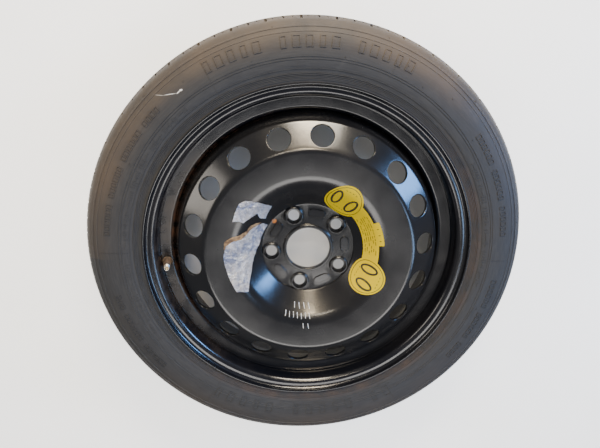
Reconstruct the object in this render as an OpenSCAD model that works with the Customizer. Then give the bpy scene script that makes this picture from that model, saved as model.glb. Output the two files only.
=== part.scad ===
// Temporary-use spare wheel: a narrow tyre on a pressed and welded steel wheel, lying flat.
// The origin is on the wheel's axis at the hub mounting face, and +Z points outboard.

/* [Rim] */
// Bead seat diameter
seat_d = 436.6; // [420:0.1:450]
// Width between the insides of the two flanges
rim_w = 101.6; // [98:0.1:110]
// Thickness of the rolled rim sheet
rim_t = 2.5; // [2:0.1:2.9]
// Height of a flange above the bead seat
flange_h = 14.1; // [13.8:0.1:16]
// Outer radius of the flange's curled edge
curl_r = 7.5; // [6:0.1:7.8]
// Angle that the curl runs on past the flange's top
curl_end = 20; // [0:1:45]
// Radius between flange and bead seat
heel_r = 6; // [4:0.1:6.3]
// Slope of the bead seats
seat_taper = 5; // [3:0.5:8]
// Distance of each hump's crest from the flange
hump_in = 21.8; // [18:0.1:24]
// Height of each hump above the end of the bead seat
hump_h = 1.6; // [0.5:0.1:2.5]
// Depth of the drop centre below the bead seat
well_depth = 18.3; // [16:0.1:20]
// Front corner of the drop centre, from the rim's middle
well_front = 21.7; // [18:0.1:22]
// Rear corner of the drop centre, from the rim's middle
well_rear = 15; // [8:0.1:18]
// Lean of the drop centre's front wall, which carries the valve
wall_lean = 10; // [5:0.5:15]
// Length of the rear slope along the axis
rear_slope = 10.5; // [9:0.1:11]

/* [Disc] */
// Distance from the hub face to the rim's middle
hub_offset = 29; // [24:0.1:34]
// Thickness of the pressed sheet
disc_t = 4.2; // [3.5:0.1:4.4]
// Radius of the flat hub pad
pad_r = 67.5; // [66:0.5:70]
// Depth to which the pad's front is coined
pad_coin = 0.7; // [0.3:0.1:1]
// Slope of the steep cone round the pad
cone_slope = 38; // [35:0.5:40]
// Radius at which the steep cone turns into the flat crown
cone_r = 103; // [99:0.5:105]
// Radius of the crown's outer corner
crown_r = 148; // [144:0.5:150]
// Height of that corner above the hub face
crown_z = 38.6; // [37:0.1:41]
// Rounding of the crown
crown_round = 14; // [8:0.5:16]
// Rounding between the hub pad and the cone
pad_round = 10; // [6:0.5:14]
// Rounding between the cone and the crown
cone_round = 40; // [20:1:45]
// Radius of the disc's outer shoulder
edge_r = 185.5; // [183:0.5:187]
// Slope of the ring that holds the hand holes
ring_slope = 29; // [25:0.5:32]
// Rounding of the outer shoulder
edge_round = 8; // [5:0.5:9]
// Length of the straight skirt that is welded into the rim
skirt_len = 10; // [8:0.5:14]
// Gap between the skirt's end and the rim's middle
skirt_end = 4; // [0:0.5:6]
// Number of hand holes
hole_count = 18; // [9:1:18]
// Diameter of a hand hole
hole_d = 32; // [24:0.5:33]
// Radius of the circle on which the hand holes lie
hole_r = 166.5; // [165.5:0.5:168]
// Turn of the first hand hole from +X
hole_phase = 84.3; // [80:0.1:95]

/* [Hub] */
// Diameter of the centre bore
bore_d = 63.4; // [60:0.1:66]
// Width of the rolled lip round the bore
lip_w = 4.5; // [3:0.1:5]
// Height of the lip above the pad
lip_h = 3; // [1.5:0.1:4]
// Number of stud holes
stud_count = 5; // [4:1:5]
// Pitch circle of the stud holes
stud_pcd = 108; // [100:0.1:112]
// Diameter of a stud hole
stud_d = 16; // [14:0.1:17]
// Diameter of a nut seat's mouth
seat_mouth_d = 23; // [22:0.1:24]
// Diameter of the raised collar at its foot
collar_d = 29; // [28:0.1:30]
// Height of the collar above the pad
collar_h = 3.6; // [3:0.1:4]
// Turn of the first stud hole from +X
stud_phase = 112.6; // [105:0.1:120]
// Length of an oblong boss between two stud holes
boss_l = 26; // [20:0.5:27]
// Width of an oblong boss
boss_w = 14; // [10:0.5:15]
// Height of an oblong boss, and depth of the pocket behind it
boss_h = 1.8; // [1:0.1:2]

/* [Tyre] */
// Overall diameter
tyre_d = 631.8; // [620:0.1:640]
// Width at the widest part of the sidewalls
section_w = 127; // [125:0.5:130]
// Width of the tread
tread_w = 86; // [80:0.5:90]
// Fall of the tread from its middle to its edge
tread_drop = 4.6; // [3:0.1:6]
// Thickness of the tread
tread_t = 8.7; // [8:0.1:10]
// Thickness of the sidewall
side_t = 5.4; // [4.5:0.1:6]
// Width of a bead
bead_w = 15; // [13:0.1:16]
// Depth of the grooves
groove_depth = 4; // [2:0.1:5]
// Width of a groove round the tread
groove_w = 5; // [3:0.1:6]
// Number of slots round each shoulder
slot_count = 44; // [30:1:48]
// Width of a shoulder slot
slot_w = 3.2; // [2:0.1:4]
// Height of the thin rib round the top of the sidewall
rib_h = 0.6; // [0.3:0.1:1]
// Distance of that rib from the tread's edge
rib_in = 13; // [11:0.5:16]
// Clearance between tyre and rim
bead_fit = 0.15; // [0.05:0.05:0.3]

/* [Valve] */
// Turn of the valve from +X
valve_phase = 185.2; // [180:0.1:190]
// Diameter of the valve hole in the rim
valve_hole_d = 11.5; // [11.3:0.1:12]
// Length of the valve outside the rim
valve_len = 30; // [28:0.5:34]
// Diameter of the rubber body where it sits on the rim
valve_foot_d = 15.2; // [14.5:0.1:16]
// Diameter of the rubber body below the thread
valve_neck_d = 10.4; // [10:0.1:11]
// Diameter of the threaded tip
tip_d = 7.7; // [7.5:0.1:7.9]
// Length of the threaded tip
tip_len = 8; // [7:0.5:9]
// Diameter of the hole down the stem
stem_bore_d = 2.8; // [2.4:0.1:3]
// Diameter of the core's barrel
core_d = 5; // [4.9:0.1:5.1]
// Diameter of the valve pin
pin_d = 1.4; // [1.2:0.1:1.5]
// Travel of the valve pin
pin_travel = 1.2; // [0.8:0.1:1.4]
// Turns of the core's spring
spring_turns = 6; // [4:1:7]
// Diameter of the spring's wire
spring_wire = 0.35; // [0.25:0.05:0.4]

/* [Labels] */
// Diameter of the yellow label's two round ends
round_d = 55; // [48:0.5:58]
// Turn of the upper round end from +X
round_turn_a = 56.8; // [52:0.1:60]
// Turn of the lower round end from +X
round_turn_b = -24.9; // [-30:0.1:-20]
// Distance of the upper round end from the bore, along the sheet
round_run_a = 64.5; // [63:0.5:72]
// Distance of the lower round end from the bore, along the sheet
round_run_b = 69; // [65:0.5:72]
// Distance of the strip's middle line from the bore, along the sheet
strip_run = 64; // [61:0.5:68]
// Width of the strip between the round ends
strip_w = 25; // [18:0.5:26]
// Width of the tab outside the strip
tab_w = 8; // [6:0.5:12]
// Distance of the torn foil label's inner edge from the bore, along the sheet
foil_in = 39; // [38:0.5:45]
// Width of the torn foil label from its inner edge outwards
foil_w = 61; // [50:0.5:62]
// Thickness of the labels
label_t = 0.3; // [0.2:0.05:0.5]

/* [Hidden] */
$fn = 120;
turn_fn = 240;
arc_steps = 7;
sheet_fit = 0.1;
seat_r = seat_d / 2;
flange_in = rim_w / 2;
flange_r = seat_r + flange_h;
well_r = seat_r - well_depth;
barrel_r = well_r - rim_t;
skirt_r = barrel_r - sheet_fit;
pad_z = disc_t - pad_coin;
skirt_top = skirt_end + skirt_len - hub_offset;
edge_z = crown_z - (edge_r - crown_r) * tan(ring_slope);
hole_z = crown_z - (hole_r - crown_r) * tan(ring_slope);
tyre_r = tyre_d / 2;
black = [0.07, 0.07, 0.08];
dark_rubber = [0.13, 0.13, 0.13];

// Points of a circle arc in the plane of radius and height, from angle a to angle b
function arc(c, r, a, b, n = arc_steps) = [for (i = [0:n])
    let (turn = a + (b - a) * i / n)
    c + r * [cos(turn), sin(turn)]];

function unit(v) = v / norm(v);
function left(v) = [-v[1], v[0]];
function cross2(a, b) = a[0] * b[1] - a[1] * b[0];

// Arc that rounds the corner b between a and c
function round_corner(a, b, c, r, n = arc_steps) =
    let (u = unit(a - b), v = unit(c - b), half = acos(u * v) / 2,
        side = cross2(b - a, c - b) > 0 ? 1 : -1,
        centre = b + unit(u + v) * r / sin(half),
        from = b + u * r / tan(half), sweep = 180 - 2 * half,
        start = atan2(from[1] - centre[1], from[0] - centre[0]))
    arc(centre, r, start, start + side * sweep, n);

// Largest rounding of a corner that leaves a rounded neighbour half of the wall between them
function place(p) = [p[0], p[1]];
function fitting(a, b, c) =
    let (to_a = place(a) - place(b), to_c = place(c) - place(b),
        half = acos(unit(to_a) * unit(to_c)) / 2,
        room_a = norm(to_a) * (a[2] == 0 ? 1 : 0.5),
        room_c = norm(to_c) * (c[2] == 0 ? 1 : 0.5))
    min(b[2], min(room_a, room_c) * tan(half));

// Path through points [radius, height, rounding], where no rounding leaves a sharp point
function rounded(p) = [for (i = [0:len(p) - 1])
    each (i == 0 || i == len(p) - 1 || p[i][2] == 0) ? [place(p[i])]
        : round_corner(place(p[i - 1]), place(p[i]), place(p[i + 1]), fitting(p[i - 1], p[i], p[i + 1]))];

// The same path moved sideways by t, to its left when t is positive
function beside(p, t) = [for (i = [0:len(p) - 1])
    let (u = i == 0 ? unit(p[1] - p[0]) : unit(p[i] - p[i - 1]),
        v = i == len(p) - 1 ? u : unit(p[i + 1] - p[i]),
        m = unit(left(u) + left(v)))
    p[i] + m * t / (m * left(u))];

function backwards(p) = [for (i = [len(p) - 1:-1:0]) p[i]];
function mirrored(p) = [for (i = [len(p) - 1:-1:0]) [p[i][0], -p[i][1]]];
function sheet(p, t) = concat(p, backwards(beside(p, t)));

module turned(p) { rotate_extrude($fn = turn_fn) polygon(p); }

// Rim: one rolled barrel, given by its tyre side from the front curl to the rear one
curl_c = [flange_r - curl_r, flange_in + curl_r];
front_curl = arc(curl_c, curl_r, curl_end, -90);
hump_z = flange_in - hump_in;
seat_fall = tan(seat_taper);
front_seat = [
    [curl_c[0], flange_in, 0],
    [seat_r, flange_in, heel_r],
    [seat_r - (hump_in - 6) * seat_fall, hump_z + 6, 5],
    [seat_r - (hump_in - 6) * seat_fall + hump_h, hump_z, 3.4],
    [seat_r - 1.4, well_front + (well_depth - 1.4) * tan(wall_lean), 3.4],
    [well_r, well_front, 4],
];
rear_seat = [
    [well_r, -well_rear, 5],
    [seat_r - 1.6, -well_rear - rear_slope, 5],
    [seat_r - (hump_in - 6) * seat_fall + hump_h, -hump_z - 0.6, 3.6],
    [seat_r - (hump_in - 6) * seat_fall, -hump_z - 6, 5],
    [seat_r, -flange_in, heel_r],
    [curl_c[0], -flange_in, 0],
];
barrel_mid = rounded(concat(front_seat, rear_seat));
rim_path = concat(front_curl, [for (i = [1:len(barrel_mid) - 2]) barrel_mid[i]], mirrored(front_curl));

module rim() {
    color(black) difference() {
        translate([0, 0, -hub_offset]) turned(sheet(rim_path, -rim_t));
        at_valve() translate([0, 0, -rim_t - 4]) cylinder(d = valve_hole_d, h = rim_t + 8);
    }
}

// Disc: the front of the pressed sheet, from the bore to the end of the skirt
disc_front = rounded([
    [bore_d / 2, disc_t, 0],
    [pad_r - 1, disc_t, pad_round],
    [cone_r, disc_t + (cone_r - pad_r + 1) * tan(cone_slope), cone_round],
    [crown_r, crown_z, crown_round],
    [edge_r, edge_z, edge_round],
    [skirt_r, skirt_top, 10],
    [skirt_r, skirt_end - hub_offset, 0],
]);

module disc() {
    color(black) difference() {
        union() {
            difference() {
                turned(sheet(disc_front, -disc_t));
                translate([0, 0, pad_z]) cylinder(r = pad_r, h = disc_t, $fn = turn_fn);
            }
            bore_lip();
            at_studs() stud_collar();
            at_bosses() oblong(boss_l, boss_w, pad_z - 0.5, boss_h + 0.5, 0.8);
        }
        translate([0, 0, -1]) cylinder(d = bore_d, h = lip_h + disc_t + 2, $fn = turn_fn);
        at_studs() stud_hole();
        at_bosses() oblong(boss_l - 5, boss_w - 5, pad_z + boss_h - 0.7, 2, 1.2);
        at_bosses() oblong(boss_l - 2, boss_w - 2, -0.01, boss_h - 0.6, 0.85);
        hand_holes();
    }
}

module at_studs() {
    for (i = [0:stud_count - 1]) rotate(stud_phase - i * 360 / stud_count)
        translate([stud_pcd / 2, 0, 0]) children();
}

module at_bosses() { rotate(-180 / stud_count) at_studs() children(); }

// Lip that the piercing punch leaves round the bore
module bore_lip() {
    lip_in = bore_d / 2 - 0.5;
    lip_out = bore_d / 2 + lip_w;
    turned(concat([[lip_in, pad_z - 1], [lip_out + 1, pad_z - 1], [lip_out + 1, pad_z]],
        arc([lip_out - 1.2, pad_z + lip_h - 1.2], 1.2, 0, 90), [[lip_in, pad_z + lip_h]]));
}

// Raised collar round a stud hole
module stud_collar() {
    rotate_extrude() polygon(concat([[stud_d / 2 - 1, 0.5], [collar_d / 2, 0.5], [collar_d / 2, pad_z + 0.8]],
        arc([collar_d / 2 - 2.2, pad_z + collar_h - 1.6], 1.6, 20, 90), [[stud_d / 2 - 1, pad_z + collar_h]]));
}

// Stud hole with its 60 degree nut seat
module stud_hole() {
    top = pad_z + collar_h;
    cone_h = (seat_mouth_d - stud_d) / 2 / tan(30);
    translate([0, 0, -1]) cylinder(d = stud_d, h = top + 2);
    translate([0, 0, top - cone_h]) cylinder(d1 = stud_d, d2 = seat_mouth_d, h = cone_h);
    translate([0, 0, top - 0.01]) cylinder(d = seat_mouth_d, h = 1);
}

// Oblong block across the radius, drafted by the scale of its top
module oblong(l, w, z, h, draft) {
    ends = concat(arc([0, (l - w) / 2], w / 2, 0, 180), arc([0, (w - l) / 2], w / 2, 180, 360));
    translate([0, 0, z]) linear_extrude(height = h, scale = draft) polygon(ends);
}

module hand_holes() {
    for (i = [0:hole_count - 1]) rotate(hole_phase - i * 360 / hole_count)
        translate([hole_r, 0, hole_z]) rotate([0, ring_slope, 0])
            translate([0, 0, -12]) cylinder(d = hole_d, h = 24);
}

// Arc welds in the corner between the skirt's end and the barrel
weld_count = 6;
weld_angle = 34;
weld_leg = disc_t - 0.4;
module disc_welds() {
    end_z = skirt_end - hub_offset;
    out = barrel_r - sheet_fit;
    color([0.16, 0.14, 0.13]) for (i = [0:weld_count - 1]) rotate(i * 360 / weld_count + 10)
        rotate_extrude(angle = weld_angle, $fn = turn_fn)
            polygon(concat([[out, end_z]], arc([out - weld_leg, end_z - weld_leg], weld_leg, 0, 90, 4)));
}

// Tyre: one moulding, given by half of its outside and half of its inside
side_z = section_w / 2;
tread_half = tread_w / 2;
tread_edge_r = tyre_r - tread_drop;
crown_radius = (pow(tread_half, 2) + pow(tread_drop, 2)) / (2 * tread_drop);
tread_crown = arc([tyre_r - crown_radius, 0], crown_radius, 0, asin(tread_half / crown_radius), 10);
bead_face = flange_in - bead_fit;
toe_z = flange_in - bead_w;
bead_seat_r = seat_r + bead_fit;
// The free sidewall runs from the bead's ridges to the shoulder, and wall_r gives the radius at a share of it
ridge_r = flange_r + 12;
shoulder_r = tread_edge_r - 6.5;
function wall_r(share) = ridge_r + (shoulder_r - ridge_r) * share;
side_outer = rounded([
    [tread_edge_r, tread_half, 0],
    [shoulder_r, tread_half + 11.5, 16],
    [wall_r(0.67), side_z + 0.4, 48],
    [wall_r(0.2), side_z + 0.4, 60],
    [ridge_r, side_z - 3.4, 0],
]);
// The rib round the top of the sidewall, set into the points of the outside
rib_r = tread_edge_r - rib_in;
rib_w = 1.6;
function side_at(r) = lookup(r, side_outer);
ribbed_side = concat([for (p = side_outer) if (p[0] > rib_r) p],
    [[rib_r, side_at(rib_r)], [rib_r - 0.2, side_at(rib_r) + rib_h],
        [rib_r - rib_w, side_at(rib_r - rib_w) + rib_h], [rib_r - rib_w - 0.2, side_at(rib_r - rib_w - 0.2)]],
    [for (p = side_outer) if (p[0] < rib_r - rib_w - 0.3) p]);
bead_ridges = [
    [flange_r + 11.6, side_z - 2.8], [flange_r + 10.4, side_z - 2.8], [flange_r + 10, side_z - 3.9],
    [flange_r + 6.6, side_z - 4.5], [flange_r + 6.2, side_z - 3.9], [flange_r + 5.2, side_z - 4.1],
    [flange_r + 4.8, side_z - 4.9], [flange_r + 1.6, side_z - 5.6],
];
bead_toe_r = bead_seat_r - bead_w * seat_fall;
bead_outer = concat(
    arc(curl_c, curl_r + bead_fit, -4, -90),
    rounded([[curl_c[0], bead_face, 0], [bead_seat_r, bead_face, heel_r], [bead_toe_r, toe_z, 0]]));
side_inner = rounded([
    [seat_r - bead_w * seat_fall + 2.5, toe_z - 2.2, 0],
    [seat_r + 11, toe_z + 3.5, 10],
    [wall_r(0.06), side_z - side_t - 2.5, 24],
    [wall_r(0.66), side_z - side_t + 0.3, 22],
    [tread_edge_r - tread_t - 4.5, tread_half + 5, 12],
    [tread_edge_r - tread_t + 2.5, tread_half - 12, 20],
    [tyre_r - tread_t, 0, 0],
]);

module tyre() {
    side = [for (i = [1:len(ribbed_side) - 1]) ribbed_side[i]];
    half = concat(tread_crown, side, bead_ridges, bead_outer, side_inner);
    open_half = [for (i = [0:len(half) - 2]) half[i]];
    rest = mirrored([for (i = [1:len(half) - 1]) half[i]]);
    color(dark_rubber) difference() {
        translate([0, 0, -hub_offset]) turned(concat(open_half, rest));
        tread_grooves();
        shoulder_slots();
    }
}

module tread_grooves() {
    floor_r = tyre_r - groove_depth - tread_drop / 4;
    for (z = [-tread_w / 4, 0, tread_w / 4])
        translate([0, 0, z - hub_offset - groove_w / 2]) difference() {
            cylinder(r = tyre_r + 1, h = groove_w, $fn = turn_fn);
            translate([0, 0, -1]) cylinder(r = floor_r, h = groove_w + 2, $fn = turn_fn);
        }
}

// Short slots across both shoulders, set half a pitch apart
module shoulder_slots() {
    slot_r = tread_edge_r - groove_depth;
    for (side = [-1, 1], i = [0:slot_count - 1])
        translate([0, 0, -hub_offset]) rotate((i + side / 4) * 360 / slot_count)
            translate([slot_r, -slot_w / 2, side * (tread_half + 2) - 10]) cube([12, slot_w, 20]);
}

// Valve: everything is modelled along its own axis, with zero at the rim's visible face
valve_mid_r = well_r + well_depth * 0.45;
valve_mid_z = well_front + (valve_mid_r - well_r) * tan(wall_lean) + rim_t / cos(wall_lean) - hub_offset;
module at_valve() {
    rotate(valve_phase) translate([valve_mid_r, 0, valve_mid_z]) rotate([0, -wall_lean, 0]) children();
}

stem_top = valve_len;
thread_z = valve_len - tip_len;
stem_foot = -rim_t - 9;
stem_in_rubber_d = 6;
core_top = stem_top - 1.2;
core_bottom = core_top - 9.4;
shoulder_z = core_bottom - 2;
pin_top = stem_top - 0.3;
washer_t = 0.8;
pin_guide_d = pin_d + 0.5;
spring_room_d = 3.3;
spring_floor = 1.2;
spring_mean_r = 1.15;
collar_z = core_bottom + spring_floor + spring_turns * spring_wire + pin_travel + 1.5;

module valve_body() {
    foot_r = valve_foot_d / 2;
    neck_r = valve_neck_d / 2;
    bulb_r = foot_r - 0.8;
    groove_r = valve_hole_d / 2 - 0.05;
    inner_z = -rim_t - sheet_fit;
    color([0.2, 0.15, 0.12]) at_valve() difference() {
        rotate_extrude() polygon(concat(
            [[0, stem_foot], [5, stem_foot], [5.8, stem_foot + 1.5], [5.8, stem_foot + 3]],
            [[bulb_r, inner_z - 4], [bulb_r, inner_z - 1.8], [groove_r + 0.4, inner_z]],
            [[groove_r, inner_z], [groove_r, sheet_fit], [foot_r - 0.6, sheet_fit]],
            arc([foot_r - 1, sheet_fit + 1.4], 1, -60, 60, 4),
            [[foot_r - 1.1, 3.2], [neck_r + 0.7, 10], [neck_r, 12], [neck_r, thread_z - 2.4]],
            [[neck_r - 0.5, thread_z - 1.2], [0, thread_z - 1.2]]));
        translate([0, 0, stem_foot - 1]) cylinder(d = stem_in_rubber_d + 0.1, h = valve_len + 20);
    }
}

module valve_stem() {
    color([0.72, 0.71, 0.66]) at_valve() difference() {
        union() {
            translate([0, 0, stem_foot]) cylinder(d = stem_in_rubber_d, h = thread_z - stem_foot);
            translate([0, 0, thread_z - 1]) cylinder(d = tip_d, h = tip_len + 1 - 0.4);
            translate([0, 0, stem_top - 0.4]) cylinder(d1 = tip_d, d2 = tip_d - 0.8, h = 0.4);
        }
        translate([0, 0, stem_foot - 1]) cylinder(d = stem_bore_d + 1, h = valve_len + 20);
        translate([0, 0, shoulder_z]) cylinder(d1 = core_d - 0.6, d2 = core_d + 0.3, h = 1.6);
        translate([0, 0, shoulder_z + 1.59]) cylinder(d = core_d + 0.3, h = valve_len);
    }
}

// Screwed barrel of the core, with a bridge that guides the pin
module core_barrel() {
    color([0.78, 0.66, 0.36]) at_valve() difference() {
        union() {
            translate([0, 0, core_bottom + 3]) cylinder(d = core_d, h = core_top - core_bottom - 3);
            translate([0, 0, core_bottom]) cylinder(d = core_d - 1, h = 3.2);
        }
        translate([0, 0, core_bottom - 1]) cylinder(d = pin_guide_d + 0.5, h = 3);
        translate([0, 0, core_bottom + spring_floor]) cylinder(d = spring_room_d, h = 6.6);
        translate([0, 0, core_bottom + 7]) cylinder(d = pin_guide_d, h = 5);
        for (side = [-1, 1]) translate([side * 2.6 - 1.2, -2, core_top - 1.1]) cube([2.4, 4, 2]);
    }
}

module core_gasket() {
    color([0.75, 0.2, 0.15]) at_valve() translate([0, 0, core_bottom + 0.6]) difference() {
        cylinder(d = core_d - 0.1, h = 1.8);
        translate([0, 0, -1]) cylinder(d = core_d - 0.9, h = 4);
    }
}

module core_pin() {
    color([0.75, 0.75, 0.76]) at_valve() {
        translate([0, 0, core_bottom - 3.4]) cylinder(d = pin_d, h = pin_top - core_bottom + 3.4);
        translate([0, 0, core_bottom - washer_t - 1.1]) cylinder(d = 3.2, h = 0.8);
        translate([0, 0, collar_z]) cylinder(d = 2.6, h = 0.6);
    }
}

module core_washer() {
    color([0.15, 0.15, 0.15]) at_valve() translate([0, 0, core_bottom - washer_t - 0.3]) difference() {
        cylinder(d = 3.2, h = washer_t);
        translate([0, 0, -1]) cylinder(d = pin_d + 0.1, h = 3);
    }
}

// Spring that returns the pin: a wire swept along a helix, with six sides
spring_sides = 6;
spring_steps = 12;
spring_low = core_bottom + spring_floor + 0.1 + spring_wire / 2;
spring_high = collar_z - 0.1 - spring_wire / 2;
spring_rise = (spring_high - spring_low) / (spring_turns * spring_steps);
function spring_ring(i) =
    let (a = i * 360 / spring_steps, z = spring_low + spring_rise * i)
    [for (j = [0:spring_sides - 1])
        let (b = j * 360 / spring_sides, r = spring_mean_r + spring_wire / 2 * cos(b))
        [r * cos(a), r * sin(a), z + spring_wire / 2 * sin(b)]];
module core_spring() {
    rings = spring_turns * spring_steps;
    points = [for (i = [0:rings]) each spring_ring(i)];
    walls = [for (i = [0:rings - 1], j = [0:spring_sides - 1])
        let (k = (j + 1) % spring_sides, a = i * spring_sides, b = a + spring_sides)
        each [[a + j, b + j, b + k], [a + j, b + k, a + k]]];
    caps = [[for (j = [0:spring_sides - 1]) j], [for (j = [spring_sides - 1:-1:0]) rings * spring_sides + j]];
    color([0.7, 0.7, 0.72]) at_valve() polyhedron(points, concat(walls, caps));
}

// Labels: an outline is laid out by its distance from the bore along the sheet and its turn from +X
function run_to(p, i) = i == 0 ? 0 : run_to(p, i - 1) + norm(p[i] - p[i - 1]);
front_runs = [for (i = [0:len(disc_front) - 1]) [run_to(disc_front, i), disc_front[i][0]]];
function radius_at(run) = lookup(run, front_runs);
function laid(run, turn) = radius_at(run) * [cos(turn), sin(turn)];
function laid_round(d, run, turn, n = 48) = [for (i = [0:n - 1])
    let (b = i * 360 / n, out = run + d / 2 * cos(b))
    laid(out, turn + d / 2 * sin(b) / radius_at(out) * 180 / PI)];
function laid_strip(run, w, from, to, n = 12) = concat(
    [for (i = [0:n]) laid(run + w / 2, from + (to - from) * i / n)],
    [for (i = [n:-1:0]) laid(run - w / 2, from + (to - from) * i / n)]);
function laid_foil(p) = [for (q = p) laid(foil_in + foil_w * q[0], q[1])];

// Film that lies on the front of the disc inside an outline
film_gap = 0.05;
module film(t) {
    low = beside(disc_front, film_gap);
    high = beside(disc_front, film_gap + t);
    intersection() {
        turned(concat(low, backwards(high)));
        linear_extrude(height = crown_z + 10) children();
    }
}

tab_lap = 2;
tab_from = 6;
tab_to = 26;
module speed_label() {
    color([0.95, 0.84, 0.06]) film(label_t) {
        polygon(laid_round(round_d, round_run_a, round_turn_a));
        polygon(laid_round(round_d, round_run_b, round_turn_b));
        polygon(laid_strip(strip_run, strip_w, round_turn_b, round_turn_a));
        polygon(laid_strip(strip_run + (strip_w + tab_w) / 2 - tab_lap / 2, tab_w + tab_lap, tab_from, tab_to, 4));
    }
}

// Torn remains of one foil label, as [share of its width, turn], whose tear runs across it
module torn_label_upper() {
    color([0.78, 0.79, 0.83]) film(label_t) polygon(laid_foil([
        [0.18, 141], [0.34, 127], [0.69, 132], [0.93, 137], [1.00, 141], [0.98, 145],
        [0.92, 154], [0.80, 152], [0.69, 152], [0.56, 144], [0.49, 140], [0.34, 143]]));
}

module torn_label_lower() {
    color([0.78, 0.79, 0.83]) film(label_t) polygon(laid_foil([
        [0.15, 147], [0.00, 147], [0.03, 170], [0.13, 180], [0.38, 199], [0.69, 212], [0.92, 207],
        [0.93, 191], [0.97, 180], [0.92, 172], [0.77, 168], [0.59, 166], [0.44, 160], [0.43, 157], [0.26, 150]]));
}

tyre();
rim();
disc();
disc_welds();
valve_body();
valve_stem();
core_barrel();
core_gasket();
core_pin();
core_washer();
core_spring();
speed_label();
torn_label_upper();
torn_label_lower();
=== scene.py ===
import bpy
import bmesh
import math
import random
from mathutils import Matrix, Vector, noise


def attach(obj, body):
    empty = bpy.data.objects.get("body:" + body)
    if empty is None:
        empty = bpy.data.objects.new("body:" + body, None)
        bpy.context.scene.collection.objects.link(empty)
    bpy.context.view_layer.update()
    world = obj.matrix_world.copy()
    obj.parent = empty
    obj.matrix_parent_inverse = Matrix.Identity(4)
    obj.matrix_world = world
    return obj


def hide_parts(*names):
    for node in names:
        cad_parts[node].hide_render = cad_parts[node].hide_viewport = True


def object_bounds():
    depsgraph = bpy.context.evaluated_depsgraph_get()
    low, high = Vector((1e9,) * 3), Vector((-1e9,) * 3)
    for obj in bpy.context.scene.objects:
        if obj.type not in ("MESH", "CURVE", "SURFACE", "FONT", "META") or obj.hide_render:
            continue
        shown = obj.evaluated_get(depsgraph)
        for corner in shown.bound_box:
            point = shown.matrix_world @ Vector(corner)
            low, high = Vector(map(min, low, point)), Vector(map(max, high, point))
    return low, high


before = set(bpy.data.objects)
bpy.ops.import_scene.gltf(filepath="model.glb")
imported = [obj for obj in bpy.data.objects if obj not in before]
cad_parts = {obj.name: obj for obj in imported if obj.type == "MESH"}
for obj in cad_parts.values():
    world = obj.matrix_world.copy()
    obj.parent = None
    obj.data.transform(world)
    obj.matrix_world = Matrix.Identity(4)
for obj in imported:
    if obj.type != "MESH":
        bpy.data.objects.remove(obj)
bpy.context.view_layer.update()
print("frame loaded")

mm = 0.001
hubOffset = 29.0        # from the hub face to the rim's middle, mm
rimMiddle = -hubOffset


# small helpers for modelling by hand

def only(obj):
    if bpy.context.object and bpy.context.object.mode != "OBJECT":
        bpy.ops.object.mode_set(mode="OBJECT")
    bpy.ops.object.select_all(action="DESELECT")
    obj.select_set(True)
    bpy.context.view_layer.objects.active = obj


def named(name):
    obj = bpy.context.object
    obj.name = name
    obj.data.name = name
    return obj


def closeEdit():
    # leaves edit mode with every face turned outwards
    bpy.ops.mesh.select_all(action="SELECT")
    bpy.ops.mesh.normals_make_consistent(inside=False)
    bpy.ops.object.mode_set(mode="OBJECT")


def tidyMesh(obj, merge=0.00001):
    only(obj)
    bpy.ops.object.mode_set(mode="EDIT")
    bpy.ops.mesh.select_all(action="SELECT")
    bpy.ops.mesh.remove_doubles(threshold=merge)
    bpy.ops.mesh.normals_make_consistent(inside=False)
    bpy.ops.object.mode_set(mode="OBJECT")
    return obj


def joinAll(objs, name):
    only(objs[0])
    for o in objs:
        o.select_set(True)
    bpy.ops.object.join()
    return named(name)


def copyOf(obj, turn):
    other = obj.copy()
    other.data = obj.data.copy()
    bpy.context.scene.collection.objects.link(other)
    other.data.transform(Matrix.Rotation(turn, 4, "Z"))
    return other


def cutWith(obj, cutter, operation="DIFFERENCE"):
    only(obj)
    bpy.ops.object.modifier_add(type="BOOLEAN")
    mod = obj.modifiers[-1]
    mod.operation = operation
    mod.solver = "EXACT"
    mod.object = cutter
    bpy.ops.object.modifier_apply(modifier=mod.name)
    bpy.data.objects.remove(cutter, do_unlink=True)
    return obj


def smoothByAngle(obj, degrees=32):
    only(obj)
    bpy.ops.object.shade_smooth_by_angle(angle=math.radians(degrees))
    return obj


def selectFaces(obj, test):
    # faces are picked in code by their centre and normal
    only(obj)
    bpy.context.tool_settings.mesh_select_mode = (False, False, True)
    for v in obj.data.vertices:
        v.select = False
    for e in obj.data.edges:
        e.select = False
    for f in obj.data.polygons:
        f.select = test(f.center, f.normal)


def deleteFaces(obj, test):
    selectFaces(obj, test)
    bpy.ops.object.mode_set(mode="EDIT")
    bpy.ops.mesh.select_mode(type="FACE")
    bpy.ops.mesh.delete(type="FACE")
    bpy.ops.object.mode_set(mode="OBJECT")


# profiles of turned parts, in mm, as (radius, height)

def arc(centre, r, start, end, steps=8):
    return [(centre[0] + r * math.cos(math.radians(start + (end - start) * i / steps)),
             centre[1] + r * math.sin(math.radians(start + (end - start) * i / steps)))
            for i in range(steps + 1)]


def corner(a, b, c, r, steps):
    u = (a - b).normalized()
    v = (c - b).normalized()
    half = math.acos(max(-1, min(1, u.dot(v)))) / 2
    r = min(r, min((a - b).length, (c - b).length) * math.tan(half))
    middle = b + (u + v).normalized() * r / math.sin(half)
    first = b + u * r / math.tan(half)
    side = 1 if (b.x - a.x) * (c.y - b.y) - (b.y - a.y) * (c.x - b.x) > 0 else -1
    start = math.degrees(math.atan2(first.y - middle.y, first.x - middle.x))
    sweep = 180 - 2 * math.degrees(half)
    return arc(middle, r, start, start + side * sweep, steps)


def rounded(points, steps=9):
    out = []
    for i, p in enumerate(points):
        if i in (0, len(points) - 1) or p[2] == 0:
            out.append((p[0], p[1]))
        else:
            a, b, c = (Vector(q[:2]) for q in points[i - 1:i + 2])
            out += corner(a, b, c, p[2], steps)
    return out


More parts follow.
